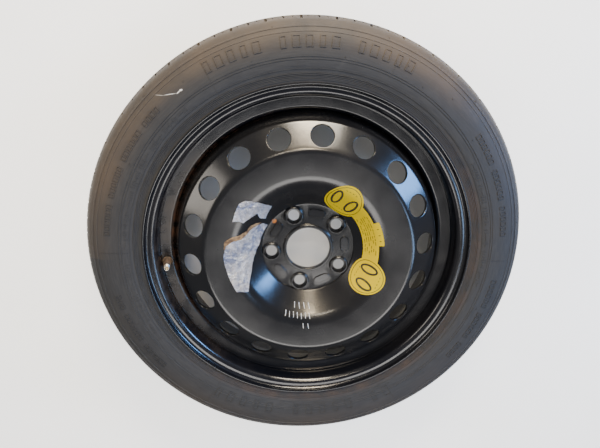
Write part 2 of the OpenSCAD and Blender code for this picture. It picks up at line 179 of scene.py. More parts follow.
def beside(path, t):
    # the same path moved sideways by t, to its left when t is positive
    out = []
    for i, p in enumerate(path):
        here = Vector(p)
        u = (here - Vector(path[i - 1])).normalized() if i else (Vector(path[1]) - here).normalized()
        v = (Vector(path[i + 1]) - here).normalized() if i < len(path) - 1 else u
        left = Vector((-u.y, u.x)) + Vector((-v.y, v.x))
        left.normalize()
        out.append(tuple(here + left * t / max(left.dot(Vector((-u.y, u.x))), 0.2)))
    return out


def sheetLoop(path, t, ends=4):
    # a closed loop round a sheet of thickness t, with rounded edges at both ends
    other = beside(path, t)

    def cap(a, b, before):
        middle = (Vector(a) + Vector(b)) / 2
        out = (Vector(a) - Vector(before)).normalized()
        reach = (Vector(a) - middle)
        return [tuple(middle + reach * math.cos(math.pi * i / ends) + out * 0.6 * reach.length
                      * math.sin(math.pi * i / ends)) for i in range(1, ends)]
    last = cap(path[-1], other[-1], path[-2])
    first = cap(other[0], path[0], other[1])
    return path + last + other[::-1] + first


def thinned(path, least=0.05):
    out = [path[0]]
    for p in path[1:]:
        if math.dist(p, out[-1]) > least:
            out.append(p)
    return out


def spinProfile(name, path, steps, sweep=360.0, start=0.0, closed=True):
    # a ring of vertices is set on the profile and spun round the wheel's axis
    bpy.ops.object.select_all(action="DESELECT")
    bpy.ops.mesh.primitive_circle_add(vertices=len(path), radius=0.1, fill_type="NOTHING")
    obj = named(name)
    turn = math.radians(start)
    for v, (r, z) in zip(obj.data.vertices, path):
        v.co = (r * mm * math.cos(turn), r * mm * math.sin(turn), z * mm)
    bpy.ops.object.mode_set(mode="EDIT")
    if not closed:
        mesh = bmesh.from_edit_mesh(obj.data)
        mesh.verts.ensure_lookup_table()
        seam = mesh.edges.get((mesh.verts[0], mesh.verts[len(path) - 1]))
        mesh.edges.remove(seam)
        bmesh.update_edit_mesh(obj.data)
    bpy.ops.mesh.select_all(action="SELECT")
    # a spin about +Z runs clockwise, hence the minus
    bpy.ops.mesh.spin(steps=steps, angle=-math.radians(sweep), center=(0, 0, 0), axis=(0, 0, 1))
    bpy.ops.mesh.select_all(action="SELECT")
    bpy.ops.mesh.remove_doubles(threshold=0.000004)
    bpy.ops.mesh.normals_make_consistent(inside=False)
    bpy.ops.object.mode_set(mode="OBJECT")
    return obj


def lookup(x, table):
    # height of a path at a radius; the table is sorted by its first column
    if x <= table[0][0]:
        return table[0][1]
    for (a, fa), (b, fb) in zip(table, table[1:]):
        if x <= b:
            return fa + (fb - fa) * (x - a) / (b - a if b > a else 1)
    return table[-1][1]


# a material and its nodes

class Paint:
    # a material's node tree, with short words for the nodes that the finishes use
    def __init__(self, name):
        self.material = bpy.data.materials.new(name)
        self.material.use_nodes = True
        self.tree = self.material.node_tree
        self.shader = self.tree.nodes["Principled BSDF"]
        self.place = self.node("ShaderNodeTexCoord").outputs["Object"]

    def node(self, kind, **values):
        made = self.tree.nodes.new(kind)
        for key, value in values.items():
            setattr(made, key, value)
        return made

    def link(self, a, b):
        self.tree.links.new(a, b)

    def put(self, socket, value):
        if hasattr(value, "is_output"):
            self.link(value, socket)
        else:
            socket.default_value = value

    def math(self, operation, a, b=0.0, c=0.0, clamp=False):
        n = self.node("ShaderNodeMath", operation=operation, use_clamp=clamp)
        for socket, value in zip(n.inputs, (a, b, c)):
            self.put(socket, value)
        return n.outputs[0]

    def noise(self, scale, detail=3.0, rough=0.55, vector=None, distortion=0.0):
        n = self.node("ShaderNodeTexNoise")
        self.link(vector or self.place, n.inputs["Vector"])
        n.inputs["Scale"].default_value = scale
        n.inputs["Detail"].default_value = detail
        n.inputs["Roughness"].default_value = rough
        n.inputs["Distortion"].default_value = distortion
        return n.outputs["Fac"]

    def ramp(self, value, low, high, a=0.0, b=1.0):
        n = self.node("ShaderNodeMapRange", interpolation_type="SMOOTHSTEP")
        self.put(n.inputs["Value"], value)
        for key, v in (("From Min", low), ("From Max", high), ("To Min", a), ("To Max", b)):
            n.inputs[key].default_value = v
        return n.outputs["Result"]

    @staticmethod
    def tinted(colour):
        # a plain colour gets its fourth value; a socket stays as it is
        return colour if hasattr(colour, "is_output") else (*colour, 1.0)

    def mix(self, share, a, b):
        # sockets 6, 7 and 2 are the colour ones
        n = self.node("ShaderNodeMix", data_type="RGBA")
        self.put(n.inputs[0], share)
        self.put(n.inputs[6], self.tinted(a))
        self.put(n.inputs[7], self.tinted(b))
        return n.outputs[2]

    def bump(self, height, strength, distance, under=None):
        n = self.node("ShaderNodeBump")
        n.inputs["Strength"].default_value = strength
        n.inputs["Distance"].default_value = distance
        self.link(height, n.inputs["Height"])
        if under:
            self.link(under, n.inputs["Normal"])
        return n.outputs["Normal"]

    def xyz(self):
        n = self.node("ShaderNodeSeparateXYZ")
        self.link(self.place, n.inputs[0])
        return n.outputs

    def radius(self):
        # distance from the wheel's axis, mm
        x, y, _ = self.xyz()
        squared = self.math("ADD", self.math("MULTIPLY", x, x), self.math("MULTIPLY", y, y))
        return self.math("MULTIPLY", self.math("SQRT", squared), 1000.0)

    def turn(self):
        # turn from +X, degrees, from -180 to 180
        x, y, _ = self.xyz()
        return self.math("MULTIPLY", self.math("ARCTAN2", y, x), 180 / math.pi)

    def near(self, value, middle, width, soft):
        # 1 within width of the middle, falling to 0 over soft
        off = self.math("ABSOLUTE", self.math("SUBTRACT", value, middle))
        return self.ramp(off, width, width + soft, 1.0, 0.0)

    def spot(self, x, y, r, soft):
        # 1 within r mm of a point in the wheel's plane
        n = self.node("ShaderNodeVectorMath", operation="MULTIPLY_ADD")
        self.link(self.place, n.inputs[0])
        n.inputs[1].default_value = (1000, 1000, 0)
        n.inputs[2].default_value = (-x, -y, 0)
        long = self.node("ShaderNodeVectorMath", operation="LENGTH")
        self.link(n.outputs[0], long.inputs[0])
        return self.ramp(long.outputs["Value"], r, r + soft, 1.0, 0.0)

    def streak(self, x, y, turn, long, wide, soft):
        # 1 along a line through a point of the wheel's plane; long and wide are half sizes in mm
        n = self.node("ShaderNodeMapping", vector_type="TEXTURE")
        self.link(self.place, n.inputs["Vector"])
        n.inputs["Location"].default_value = (x * mm, y * mm, 0)
        n.inputs["Rotation"].default_value = (0, 0, math.radians(turn))
        n.inputs["Scale"].default_value = (long * mm, wide * mm, 1)
        flat = self.node("ShaderNodeVectorMath", operation="MULTIPLY")
        self.link(n.outputs[0], flat.inputs[0])
        flat.inputs[1].default_value = (1, 1, 0)
        far = self.node("ShaderNodeVectorMath", operation="LENGTH")
        self.link(flat.outputs[0], far.inputs[0])
        return self.ramp(far.outputs["Value"], 1.0 - soft, 1.0, 1.0, 0.0)

    def finish(self, colour, rough, normal=None, metallic=0.0, **fixed):
        self.put(self.shader.inputs["Base Color"], self.tinted(colour))
        self.put(self.shader.inputs["Roughness"], rough)
        self.shader.inputs["Metallic"].default_value = metallic
        if normal:
            self.link(normal, self.shader.inputs["Normal"])
        for key, value in fixed.items():
            self.shader.inputs[key.replace("_", " ")].default_value = value
        return self.material


def dress(obj, material):
    obj.data.materials.clear()
    obj.data.materials.append(material)
    return obj


# the camera stands where the photograph was taken

view = dict(place=(-0.04525, 0.22646, 0.59834), tilt=0.307769838, swing=0.0560286417, lens=25.882)


def setCamera():
    data = bpy.data.cameras.new("camera")
    data.lens = view["lens"]
    data.sensor_width = 36.0
    data.sensor_fit = "HORIZONTAL"
    data.clip_start = 0.01
    camera = bpy.data.objects.new("camera", data)
    bpy.context.scene.collection.objects.link(camera)
    turn = Matrix.Rotation(-view["swing"], 4, "Y") @ Matrix.Rotation(-view["tilt"], 4, "X")
    camera.matrix_world = Matrix.Translation(view["place"]) @ turn
    bpy.context.scene.camera = camera


setCamera()
print("camera set")


# the tyre

tyre = dict(radius=315.9, treadHalf=43.0, treadDrop=4.6, sideHalf=63.5, flange=232.4, seat=218.3, curl=7.5,
            flangeIn=50.8, fit=0.15, bead=15.0, wall=5.4, tread=8.7, pitches=44, slot=3.2, slotDepth=4.0,
            grooveFloor=310.75, lineHigh=0.45, stepHigh=0.6, stepsInPitch=7)


def tyreSide():
    # outside of the free sidewall from the tread's edge down to the bead's ridges
    t = tyre
    edge = t["radius"] - t["treadDrop"]
    ridge = t["flange"] + 12
    shoulder = edge - 6.5

    def wall(share):
        return ridge + (shoulder - ridge) * share
    side = rounded([(edge, t["treadHalf"], 0), (shoulder, t["treadHalf"] + 11.5, 16),
                    (wall(0.67), t["sideHalf"] + 0.4, 48), (wall(0.2), t["sideHalf"] + 0.4, 60),
                    (ridge, t["sideHalf"] - 3.4, 0)], 10)
    return thinned(side, 0.3), wall


tyreOutside, wallRadius = tyreSide()
sideTable = sorted(tyreOutside)


def tyreProfile():
    t = tyre
    fall = math.tan(math.radians(5))
    edge = t["radius"] - t["treadDrop"]
    big = (t["treadHalf"] ** 2 + t["treadDrop"] ** 2) / (2 * t["treadDrop"])

    def crown(z):
        return t["radius"] - big + math.sqrt(big * big - z * z)
    tread = [(t["grooveFloor"], 0), (t["grooveFloor"], 2.1), (crown(2.5) - 0.5, 2.4), (crown(3.2), 3.2)]
    tread += [(crown(z), z) for z in (8, 13, 18.2)]
    tread += [(crown(19) - 0.5, 19.1), (t["grooveFloor"], 19.4), (t["grooveFloor"], 23.6),
              (crown(24) - 0.5, 23.9), (crown(24.8), 24.8)]
    tread += [(crown(z), z) for z in (30, 36, 41.5)]
    out = [p for p in tyreOutside]
    lines = []
    # fine raised lines round the sidewall: the step below the shoulder and two at the bands' edges
    for r, wide in ((298.3, 1.4), (291.5, 0.5), (262.6, 0.5), (259.6, 0.5), (248.6, 0.6)):
        z = lookup(r, sideTable)
        up = t["stepHigh"] if r > 298 else t["lineHigh"]
        lines.append([(r + 0.3, z - 0.02), (r, z + up), (r - wide, lookup(r - wide, sideTable) + up),
                      (r - wide - 0.3, lookup(r - wide - 0.3, sideTable) - 0.02)])
    for line in lines:
        above = [p for p in out if p[0] > line[0][0] + 0.4]
        below = [p for p in out if p[0] < line[-1][0] - 0.4]
        out = above + line + below
    # ridges round the bead, stepped down to the flange
    f, s = t["flange"], t["sideHalf"]
    bead = [(f + 11.7, s - 3.0)]
    for r, z, h in ((10.6, s - 3.4, 0.7), (8.7, s - 4.0, 0.6), (6.9, s - 4.5, 0.6), (5.1, s - 4.9, 0.5),
                    (3.5, s - 5.2, 0.45)):
        bead += [(f + r + 0.55, z), (f + r + 0.3, z + h), (f + r - 0.35, z + h), (f + r - 0.6, z - 0.1)]
    bead += [(f + 1.7, s - 5.7)]
    centre = (f - t["curl"], t["flangeIn"] + t["curl"])
    heel = [(centre[0], t["flangeIn"] - t["fit"], 0), (t["seat"] + t["fit"], t["flangeIn"] - t["fit"], 6),
            (t["seat"] + t["fit"] - t["bead"] * fall, t["flangeIn"] - t["bead"], 0)]
    bead += arc(centre, t["curl"] + t["fit"], -4, -90, 8) + rounded(heel, 6)[1:]
    toe = t["flangeIn"] - t["bead"]
    inside = rounded([(t["seat"] - t["bead"] * fall + 2.5, toe - 2.2, 0), (t["seat"] + 11, toe + 3.5, 10),
                      (wallRadius(0.06), s - t["wall"] - 2.5, 24),
                      (wallRadius(0.66), s - t["wall"] + 0.3, 22),
                      (edge - t["tread"] - 4.5, t["treadHalf"] + 5, 12),
                      (edge - t["tread"] + 2.5, t["treadHalf"] - 12, 20),
                      (t["radius"] - t["tread"], 0, 0)], 5)
    half = thinned(tread + out + bead + inside, 0.12)
    rest = [(r, -z) for r, z in half[::-1] if abs(z) > 0.01]
    return [(r, z + rimMiddle) for r, z in half + rest]


def buildTyre():
    t = tyre
    pitch = 360 / t["pitches"]
    part = spinProfile("tyre_casing", tyreProfile(), t["stepsInPitch"], sweep=pitch)
    bpy.ops.object.mode_set(mode="EDIT")
    bpy.ops.mesh.select_all(action="DESELECT")
    bpy.ops.mesh.select_mode(type="EDGE")
    bpy.ops.mesh.select_non_manifold(extend=False)
    bpy.ops.mesh.edge_face_add()
    closeEdit()
    edge = t["radius"] - t["treadDrop"]
    cutters = []
    for side, share in ((1, 0.25), (-1, 0.75)):
        cutters.append((side, share, t["slot"], edge - t["slotDepth"], 20.0, 0.0))
        cutters.append((side, 1 - share, 2.0, edge - 3.0, 17.0, 12.0))
        cutters.append((side, 0.5, 0.9, edge - 2.4, 15.0, 20.0))
        cutters.append((side, 0.06, 0.9, edge - 2.4, 15.0, 20.0))
    for side, share, wide, floor, long, slant in cutters:
        bpy.ops.object.select_all(action="DESELECT")
        bpy.ops.mesh.primitive_cube_add(size=1)
        cutter = named("slotCutter")
        cutter.data.transform(Matrix.Diagonal((12 * mm, wide * mm, long * mm, 1)))
        cutter.data.transform(Matrix.Rotation(math.radians(slant * side), 4, "X"))
        cutter.data.transform(Matrix.Translation(
            ((floor + 6) * mm, 0, (side * (t["treadHalf"] + 2) + rimMiddle) * mm)))
        cutter.data.transform(Matrix.Rotation(math.radians(pitch * share), 4, "Z"))
        cutWith(part, cutter)

    def atEnd(c, n):
        turn = math.degrees(math.atan2(c.y, c.x))
        return abs(n.z) < 0.2 and (abs(turn) < 0.01 or abs(turn - pitch) < 0.01)
    deleteFaces(part, atEnd)
    copies = [copyOf(part, math.radians(pitch * i)) for i in range(t["pitches"])]
    bpy.data.objects.remove(part, do_unlink=True)
    casing = joinAll(copies, "tyre_casing")
    tidyMesh(casing, 0.00002)
    return smoothByAngle(casing, 38)


casing = buildTyre()
print("tyre made:", len(casing.data.polygons), "faces")


# the rim

rim = dict(sheet=2.5, curlEnd=20.0, taper=5.0, humpIn=21.8, hump=1.6, well=18.3, wellFront=21.7,
           wellRear=15.0, lean=10.0, rearSlope=10.5, turns=256, valveTurn=185.2, valveHole=11.5)


def rimPath():
    t, p = tyre, rim
    fall = math.tan(math.radians(p["taper"]))
    centre = (t["flange"] - t["curl"], t["flangeIn"] + t["curl"])
    humpAt = t["flangeIn"] - p["humpIn"]
    low = t["seat"] - (p["humpIn"] - 6) * fall
    well = t["seat"] - p["well"]
    inner = rounded([
        (centre[0], t["flangeIn"], 0), (t["seat"], t["flangeIn"], 6), (low, humpAt + 6, 5),
        (low + p["hump"], humpAt, 3.4),
        (t["seat"] - 1.4, p["wellFront"] + (p["well"] - 1.4) * math.tan(math.radians(p["lean"])), 3.4),
        (well, p["wellFront"], 4), (well, -p["wellRear"], 5),
        (t["seat"] - 1.6, -p["wellRear"] - p["rearSlope"], 5), (low + p["hump"], -humpAt - 0.6, 3.6),
        (low, -humpAt - 6, 5), (t["seat"], -t["flangeIn"], 6), (centre[0], -t["flangeIn"], 0)], 7)
    curl = arc(centre, t["curl"], p["curlEnd"], -90, 14)
    path = curl + inner[1:-1] + [(r, -z) for r, z in curl[::-1]]
    return [(r, z + rimMiddle) for r, z in thinned(path, 0.1)]


def valveFrame():
    # place and turn of the valve's own axis, from the rim's visible face outwards
    p = rim
    well = tyre["seat"] - p["well"]
    lean = math.radians(p["lean"])
    r = well + p["well"] * 0.45
    z = p["wellFront"] + (r - well) * math.tan(lean) + p["sheet"] / math.cos(lean) + rimMiddle
    return (Matrix.Rotation(math.radians(p["valveTurn"]), 4, "Z") @ Matrix.Translation((r * mm, 0, z * mm))
            @ Matrix.Rotation(-lean, 4, "Y"))


def buildRim():
    loop = sheetLoop(rimPath(), -rim["sheet"])
    barrel = spinProfile("rim_barrel", loop, rim["turns"])
    bpy.ops.object.select_all(action="DESELECT")
    bpy.ops.mesh.primitive_cylinder_add(vertices=48, radius=rim["valveHole"] / 2 * mm, depth=14 * mm)
    drill = named("valveDrill")
    drill.data.transform(valveFrame() @ Matrix.Translation((0, 0, -rim["sheet"] / 2 * mm)))
    cutWith(barrel, drill)
    return smoothByAngle(barrel, 30)


barrel = buildRim()
print("rim made:", len(barrel.data.polygons), "faces")


# the disc

disc = dict(bore=31.7, sheet=4.2, pad=67.5, coin=0.7, padRound=10, cone=103.0, coneSlope=38.0, coneRound=40,
            crown=148.0, crownHigh=38.6, crownRound=14, edge=185.5, ringSlope=29.0, edgeRound=8, skirt=197.4,
            skirtTop=-15.0, skirtEnd=-25.0, holes=18, hole=16.0, holeAt=166.5, holeTurn=84.3, studs=5,
            studAt=54.0, studTurn=112.6, stud=8.0, seatMouth=11.5, collar=14.5, collarHigh=3.6, lip=4.5,
            lipHigh=3.0, bossLong=26.0, bossWide=14.0, bossHigh=1.8, seam=80.0)


def discPath():
    d = disc
    out = d["crownHigh"] - (d["edge"] - d["crown"]) * math.tan(math.radians(d["ringSlope"]))
    rise = (d["cone"] - d["pad"] + 1) * math.tan(math.radians(d["coneSlope"]))
    return rounded([(d["bore"], d["sheet"], 0), (d["pad"] - 1, d["sheet"], d["padRound"]),
                    (d["cone"], d["sheet"] + rise, d["coneRound"]),
                    (d["crown"], d["crownHigh"], d["crownRound"]),
                    (d["edge"], out, d["edgeRound"]), (d["skirt"], d["skirtTop"], 10),
                    (d["skirt"], d["skirtEnd"], 0)], 12)


discFront = thinned(discPath(), 0.05)
discRear = beside(discFront, -disc["sheet"])
discRun = [0.0]
for before, after in zip(discFront, discFront[1:]):
    discRun.append(discRun[-1] + math.dist(before, after))


def atRun(run, path=None):
    # (radius, height) at a distance from the bore's edge along the disc's front
    path = path or discFront
    for i in range(1, len(discRun)):
        if run <= discRun[i] or i == len(discRun) - 1:
            share = (run - discRun[i - 1]) / (discRun[i] - discRun[i - 1])
            share = max(0.0, min(1.0, share))
            return tuple(a + (b - a) * share for a, b in zip(path[i - 1], path[i]))


def runAt(radius):
    for i in range(1, len(discFront)):
        if discFront[i][0] >= radius:
            share = (radius - discFront[i - 1][0]) / max(discFront[i][0] - discFront[i - 1][0], 1e-9)
            return discRun[i - 1] + (discRun[i] - discRun[i - 1]) * max(0.0, share)
    return discRun[-1]


def onDisc(run, turn, lift=0.0):
    # a point on the disc's front, at a run and a turn in degrees, lifted off it along its normal
    r, z = atRun(run)
    r2, z2 = atRun(run, discRear)
    n = Vector((r - r2, z - z2)).normalized()
    r, z = r + n.x * lift, z + n.y * lift
    a = math.radians(turn)
    return Vector((r * math.cos(a), r * math.sin(a), z)) * mm


def pressSector():
    # one eighteenth of the blank with its hand hole, laid out flat by run and turn, then pressed to shape
    d = disc
    step = 360 / d["holes"]
    rows = [r for r in discRun if r > runAt(d["seam"]) + 0.5]
    first, last = runAt(d["seam"]), discRun[-1]
    slope = math.radians(d["ringSlope"])
    inner, outer = runAt(d["holeAt"]) - 17.6, runAt(d["holeAt"]) + 17.6
    middle = runAt(d["holeAt"])
    columns = 20
    mesh = bmesh.new()
    grid = {}

    def vertex(run, turn):
        key = (round(run, 3), round(turn, 4))
        if key not in grid:
            grid[key] = mesh.verts.new(onDisc(run, d["holeTurn"] + turn))
        return grid[key]

    def band(runs):
        for a, b in zip(runs, runs[1:]):
            for i in range(columns):
                u, v = -step / 2 + step * i / columns, -step / 2 + step * (i + 1) / columns
                mesh.faces.new((vertex(a, u), vertex(b, u), vertex(b, v), vertex(a, v)))
    below = [first] + [r for r in rows if first + 1 < r < inner - 0.6] + [inner]
    above = [outer] + [r for r in rows if outer + 0.6 < r < last - 0.3] + [last]
    band(below)
    band(above)
    # the patch round the hole: rings go from the hole's edge out to the patch's four sides
    sides = []
    sideSteps = 12
    for i in range(columns):
        sides.append((inner, -step / 2 + step * i / columns))
    for i in range(sideSteps):
        sides.append((inner + (outer - inner) * i / sideSteps, step / 2))
    for i in range(columns):
        sides.append((outer, step / 2 - step * i / columns))
    for i in range(sideSteps):
        sides.append((outer - (outer - inner) * i / sideSteps, -step / 2))
    rings = []
    for share in (0.0, 0.05, 0.3, 0.62, 1.0):
        ring = []
        for run, turn in sides:
            along = run - middle
            across = math.radians(turn) * d["holeAt"]
            way = math.atan2(across, along)
            if share == 0.0 or share == 0.05:
                reach = d["hole"] + (0.9 if share else 0.0)
                u, v = reach * math.cos(way), reach * math.sin(way)
                x = d["holeAt"] + u * math.cos(slope)
                at = (runAt(math.hypot(x, v)), math.degrees(math.atan2(v, x)))
            else:
                near = rings[1][len(ring)]
                at = (near[0] + (run - near[0]) * share, near[1] + (turn - near[1]) * share)
            ring.append(at)
        rings.append(ring)
    count = len(sides)
    for a, b in zip(rings, rings[1:]):
        for i in range(count):
            j = (i + 1) % count
            corners = [vertex(*a[i]), vertex(*a[j]), vertex(*b[j]), vertex(*b[i])]
            if len(set(corners)) == 4:
                mesh.faces.new(corners)
    data = bpy.data.meshes.new("discSector")
    mesh.to_mesh(data)
    mesh.free()
    obj = bpy.data.objects.new("discSector", data)
    bpy.context.scene.collection.objects.link(obj)
    return obj


def hollowRow(obj):
    # wall thickness, from the front inwards
    only(obj)
    bpy.ops.object.modifier_add(type="SOLIDIFY")
    mod = obj.modifiers[-1]
    mod.thickness = disc["sheet"] * mm
    mod.offset = -1
    mod.use_even_offset = True
    mod.use_quality_normals = True
    bpy.ops.object.modifier_apply(modifier=mod.name)


def holeCentres():
    d = disc
    slope = math.radians(d["ringSlope"])
    z = lookup(d["holeAt"], [p for p in discFront if p[0] < 190])
    out = []
    for i in range(d["holes"]):
        a = math.radians(d["holeTurn"] - i * 360 / d["holes"])
        axis = Vector((math.sin(slope) * math.cos(a), math.sin(slope) * math.sin(a), math.cos(slope)))
        out.append((Vector((d["holeAt"] * math.cos(a), d["holeAt"] * math.sin(a), z)) * mm, axis))
    return out


def bevelHoles(obj):
    # the punched edges of the hand holes are broken by a small round
    centres = holeCentres()
    mesh = bmesh.new()
    mesh.from_mesh(obj.data)
    picked = []
    for e in mesh.edges:
        if len(e.link_faces) != 2 or e.calc_face_angle(0) < math.radians(45):
            continue
        mid = (e.verts[0].co + e.verts[1].co) / 2
        if not 0.13 < mid.xy.length < 0.2:
            continue
        for c, axis in centres:
            off = mid - c
            if (off - axis * off.dot(axis)).length < 0.0168:
                picked.append(e)
                break
    bmesh.ops.bevel(mesh, geom=picked, offset=0.6 * mm, offset_type="OFFSET", segments=3, profile=0.5,
                    affect="EDGES", clamp_overlap=False)
    mesh.to_mesh(obj.data)
    mesh.free()


def addTurned(name, path, centre, turns=48):
    obj = spinProfile(name, path, turns)
    obj.data.transform(Matrix.Translation(Vector(centre) * mm))
    return obj


def oblong(name, long, wide, low, high, draft, turn, at):
    # a block with round ends, drafted towards its top
    bpy.ops.object.select_all(action="DESELECT")
    bpy.ops.mesh.primitive_cylinder_add(vertices=48, radius=wide / 2 * mm, depth=(high - low) * mm)
    obj = named(name)
    for v in obj.data.vertices:
        top = v.co.z > 0
        if v.co.y > 1e-6:
            v.co.y += (long - wide) / 2 * mm
        elif v.co.y < -1e-6:
            v.co.y -= (long - wide) / 2 * mm
        if top:
            v.co.x *= draft
            v.co.y *= draft + (1 - draft) * 0.5
        v.co.z += (high + low) / 2 * mm
    obj.data.transform(Matrix.Rotation(turn, 4, "Z") @ Matrix.Translation((at * mm, 0, 0)))
    return obj


def buildPad():
    d = disc
    top = d["sheet"] - d["coin"]
    seamFront = atRun(runAt(d["seam"]))
    seamRear = atRun(runAt(d["seam"]), discRear)
    front = [p for p in discFront if d["pad"] < p[0] < d["seam"] - 0.5]
    rear = [p for p in discRear if p[0] < seamRear[0] - 0.5 and p[0] > d["bore"] + 1]
    path = [(d["bore"] + 0.35, 0), (d["bore"], 0.35), (d["bore"], top)]
    path += [(40, top), (d["pad"] - 0.9, top), (d["pad"] - 0.3, top + 0.12), (d["pad"], top + 0.5)]
    path += front + [seamFront, seamRear] + rear[::-1]
    pad = spinProfile("disc_pad", thinned(path, 0.08), 360, start=d["holeTurn"] - 10)
    out = d["bore"] + d["lip"]
    lip = [(d["bore"] - 0.6, top - 1), (out + 0.9, top - 1), (out + 0.9, top + 0.05),
           (out + 0.3, top + 0.35)]
    lip += arc((out - 1.3, top + d["lipHigh"] - 1.4), 1.4, 5, 90, 6)
    lip += arc((d["bore"] + 0.9, top + d["lipHigh"] - 0.9), 0.9, 90, 170, 4) + [(d["bore"] - 0.6, top + 1.2)]
    cutWith(pad, addTurned("lip", lip, (0, 0, 0), 180), "UNION")
    long, wide = d["bossLong"], d["bossWide"]
    for i in range(d["studs"]):
        a = math.radians(d["studTurn"] - i * 360 / d["studs"])
        at = (d["studAt"] * math.cos(a), d["studAt"] * math.sin(a), 0)
        r, h = d["collar"], top + d["collarHigh"]
        ring = [(5.5, 1.0), (r, 1.0), (r, top + 0.25), (r - 0.35, top + 0.6)]
        ring += arc((r - 2.6, h - 1.7), 1.7, 12, 90, 6) + [(5.5, h)]
        cutWith(pad, addTurned("collar", ring, at), "UNION")
        b = a - math.pi / d["studs"]
        block = oblong("boss", long, wide, top - 0.6, top + d["bossHigh"], 0.8, b, d["studAt"])
        cutWith(pad, block, "UNION")
    for i in range(d["studs"]):
        a = math.radians(d["studTurn"] - i * 360 / d["studs"])
        at = (d["studAt"] * math.cos(a), d["studAt"] * math.sin(a), 0)
        h = top + d["collarHigh"]
        deep = (d["seatMouth"] - d["stud"]) / math.tan(math.radians(30))
        drill = [(0.01, -2), (d["stud"], -2), (d["stud"], h - deep), (d["seatMouth"], h - 0.01),
                 (d["seatMouth"] + 0.5, h + 0.12), (d["seatMouth"] + 0.5, h + 3), (0.01, h + 3)]
        cutWith(pad, addTurned("drill", drill, at))
        b = a - math.pi / d["studs"]
        # the boss is pressed, so it is sunk a little on top and hollow from behind
        floorAt = top + d["bossHigh"] - 0.7
        cutWith(pad, oblong("dent", long - 5, wide - 5, floorAt, top + 6, 1.25, b, d["studAt"]))
        cutWith(pad, oblong("dent", long - 2, wide - 2, -1.0, d["bossHigh"] - 0.6, 0.85, b, d["studAt"]))
    bore = addTurned("boreDrill", [(0.01, -2), (d["bore"], -2), (d["bore"], 9), (0.01, 9)], (0, 0, 0), 180)
    cutWith(pad, bore)

    def atSeam(c, n):
        away = abs(c.xy.length - (d["seam"] + seamRear[0]) / 2 * mm)
        across = n.z * (seamFront[1] - seamRear[1]) + n.xy.dot(c.xy.normalized()) * (d["seam"] - seamRear[0])
        return away < 3 * mm and abs(across) < 0.3 * d["sheet"]
    deleteFaces(pad, atSeam)
    return pad


def buildDisc():
    d = disc
    sector = pressSector()
    parts = [copyOf(sector, -math.radians(360 / d["holes"] * i)) for i in range(d["holes"])]
    bpy.data.objects.remove(sector, do_unlink=True)
    ring = tidyMesh(joinAll(parts, "disc_ring"), 0.00003)
    up = sum(1 if f.normal.z > 0 else -1 for f in ring.data.polygons)
    if up < 0:
        bpy.ops.object.mode_set(mode="EDIT")
        bpy.ops.mesh.flip_normals()
        bpy.ops.object.mode_set(mode="OBJECT")
    hollowRow(ring)
    seamRear = atRun(runAt(d["seam"]), discRear)
    # the wall at the inner seam is opened, so the ring grows on the pad
    deleteFaces(ring, lambda c, n: abs(c.xy.length - (d["seam"] + seamRear[0]) / 2 * mm) < 0.6 * mm
                and n.xy.dot(c.xy.normalized()) < -0.5)
    bevelHoles(ring)
    pad = buildPad()
    both = tidyMesh(joinAll([ring, pad], "wheel_disc"), 0.00006)
    bpy.ops.object.mode_set(mode="EDIT")
    bpy.ops.mesh.select_all(action="SELECT")
    bpy.ops.mesh.delete_loose()
    bpy.ops.mesh.select_all(action="SELECT")
    bpy.ops.mesh.fill_holes(sides=12)
    closeEdit()
    return smoothByAngle(both, 30)


wheelDisc = buildDisc()
print("disc made:", len(wheelDisc.data.polygons), "faces")


# marks on the tyre's sidewall

marks = dict(line=1.25, lift=0.75, sunk=0.25, seed=7)


def flatMark(name, wide, high, columns, rows, frameLine=0.0, lift=None):
    # a raised mark laid out flat: x along the sidewall, y outwards, z up, all in metres
    bpy.ops.object.select_all(action="DESELECT")
    bpy.ops.mesh.primitive_grid_add(x_subdivisions=columns, y_subdivisions=rows, size=1)
    obj = named(name)
    obj.data.transform(Matrix.Diagonal((wide * mm, high * mm, 1, 1)))
    obj.data.transform(Matrix.Translation((0, 0, (marks["lift"] if lift is None else lift) * mm)))
    bpy.ops.object.mode_set(mode="EDIT")
    bpy.ops.mesh.select_mode(type="FACE")
    bpy.ops.mesh.select_all(action="SELECT")
    if frameLine:
        bpy.ops.mesh.inset(thickness=frameLine * mm, depth=0, use_boundary=True)
        bpy.ops.mesh.delete(type="FACE")
        bpy.ops.mesh.select_all(action="SELECT")
    down = -(marks["sunk"] + (marks["lift"] if lift is None else lift)) * mm
    bpy.ops.mesh.extrude_region_move(TRANSFORM_OT_translate={"value": (0, 0, down)})
    closeEdit()
    return obj


def layMark(proto, turn, r, stretch=1.0, tall=1.0, slant=0.0):
    # a copy of a flat mark, laid on the front sidewall
    other = proto.copy()
    other.data = proto.data.copy()
    bpy.context.scene.collection.objects.link(other)
    cosS, sinS = math.cos(math.radians(slant)), math.sin(math.radians(slant))
    for v in other.data.vertices:
        x, y = v.co.x * stretch, v.co.y * tall
        x, y = x * cosS - y * sinS, x * sinS + y * cosS
        at = r + y / mm
        a = math.radians(turn) - x / mm / at
        z = lookup(at, sideTable) + rimMiddle + v.co.z / mm
        v.co = (at * math.cos(a) * mm, at * math.sin(a) * mm, z * mm)
    return other


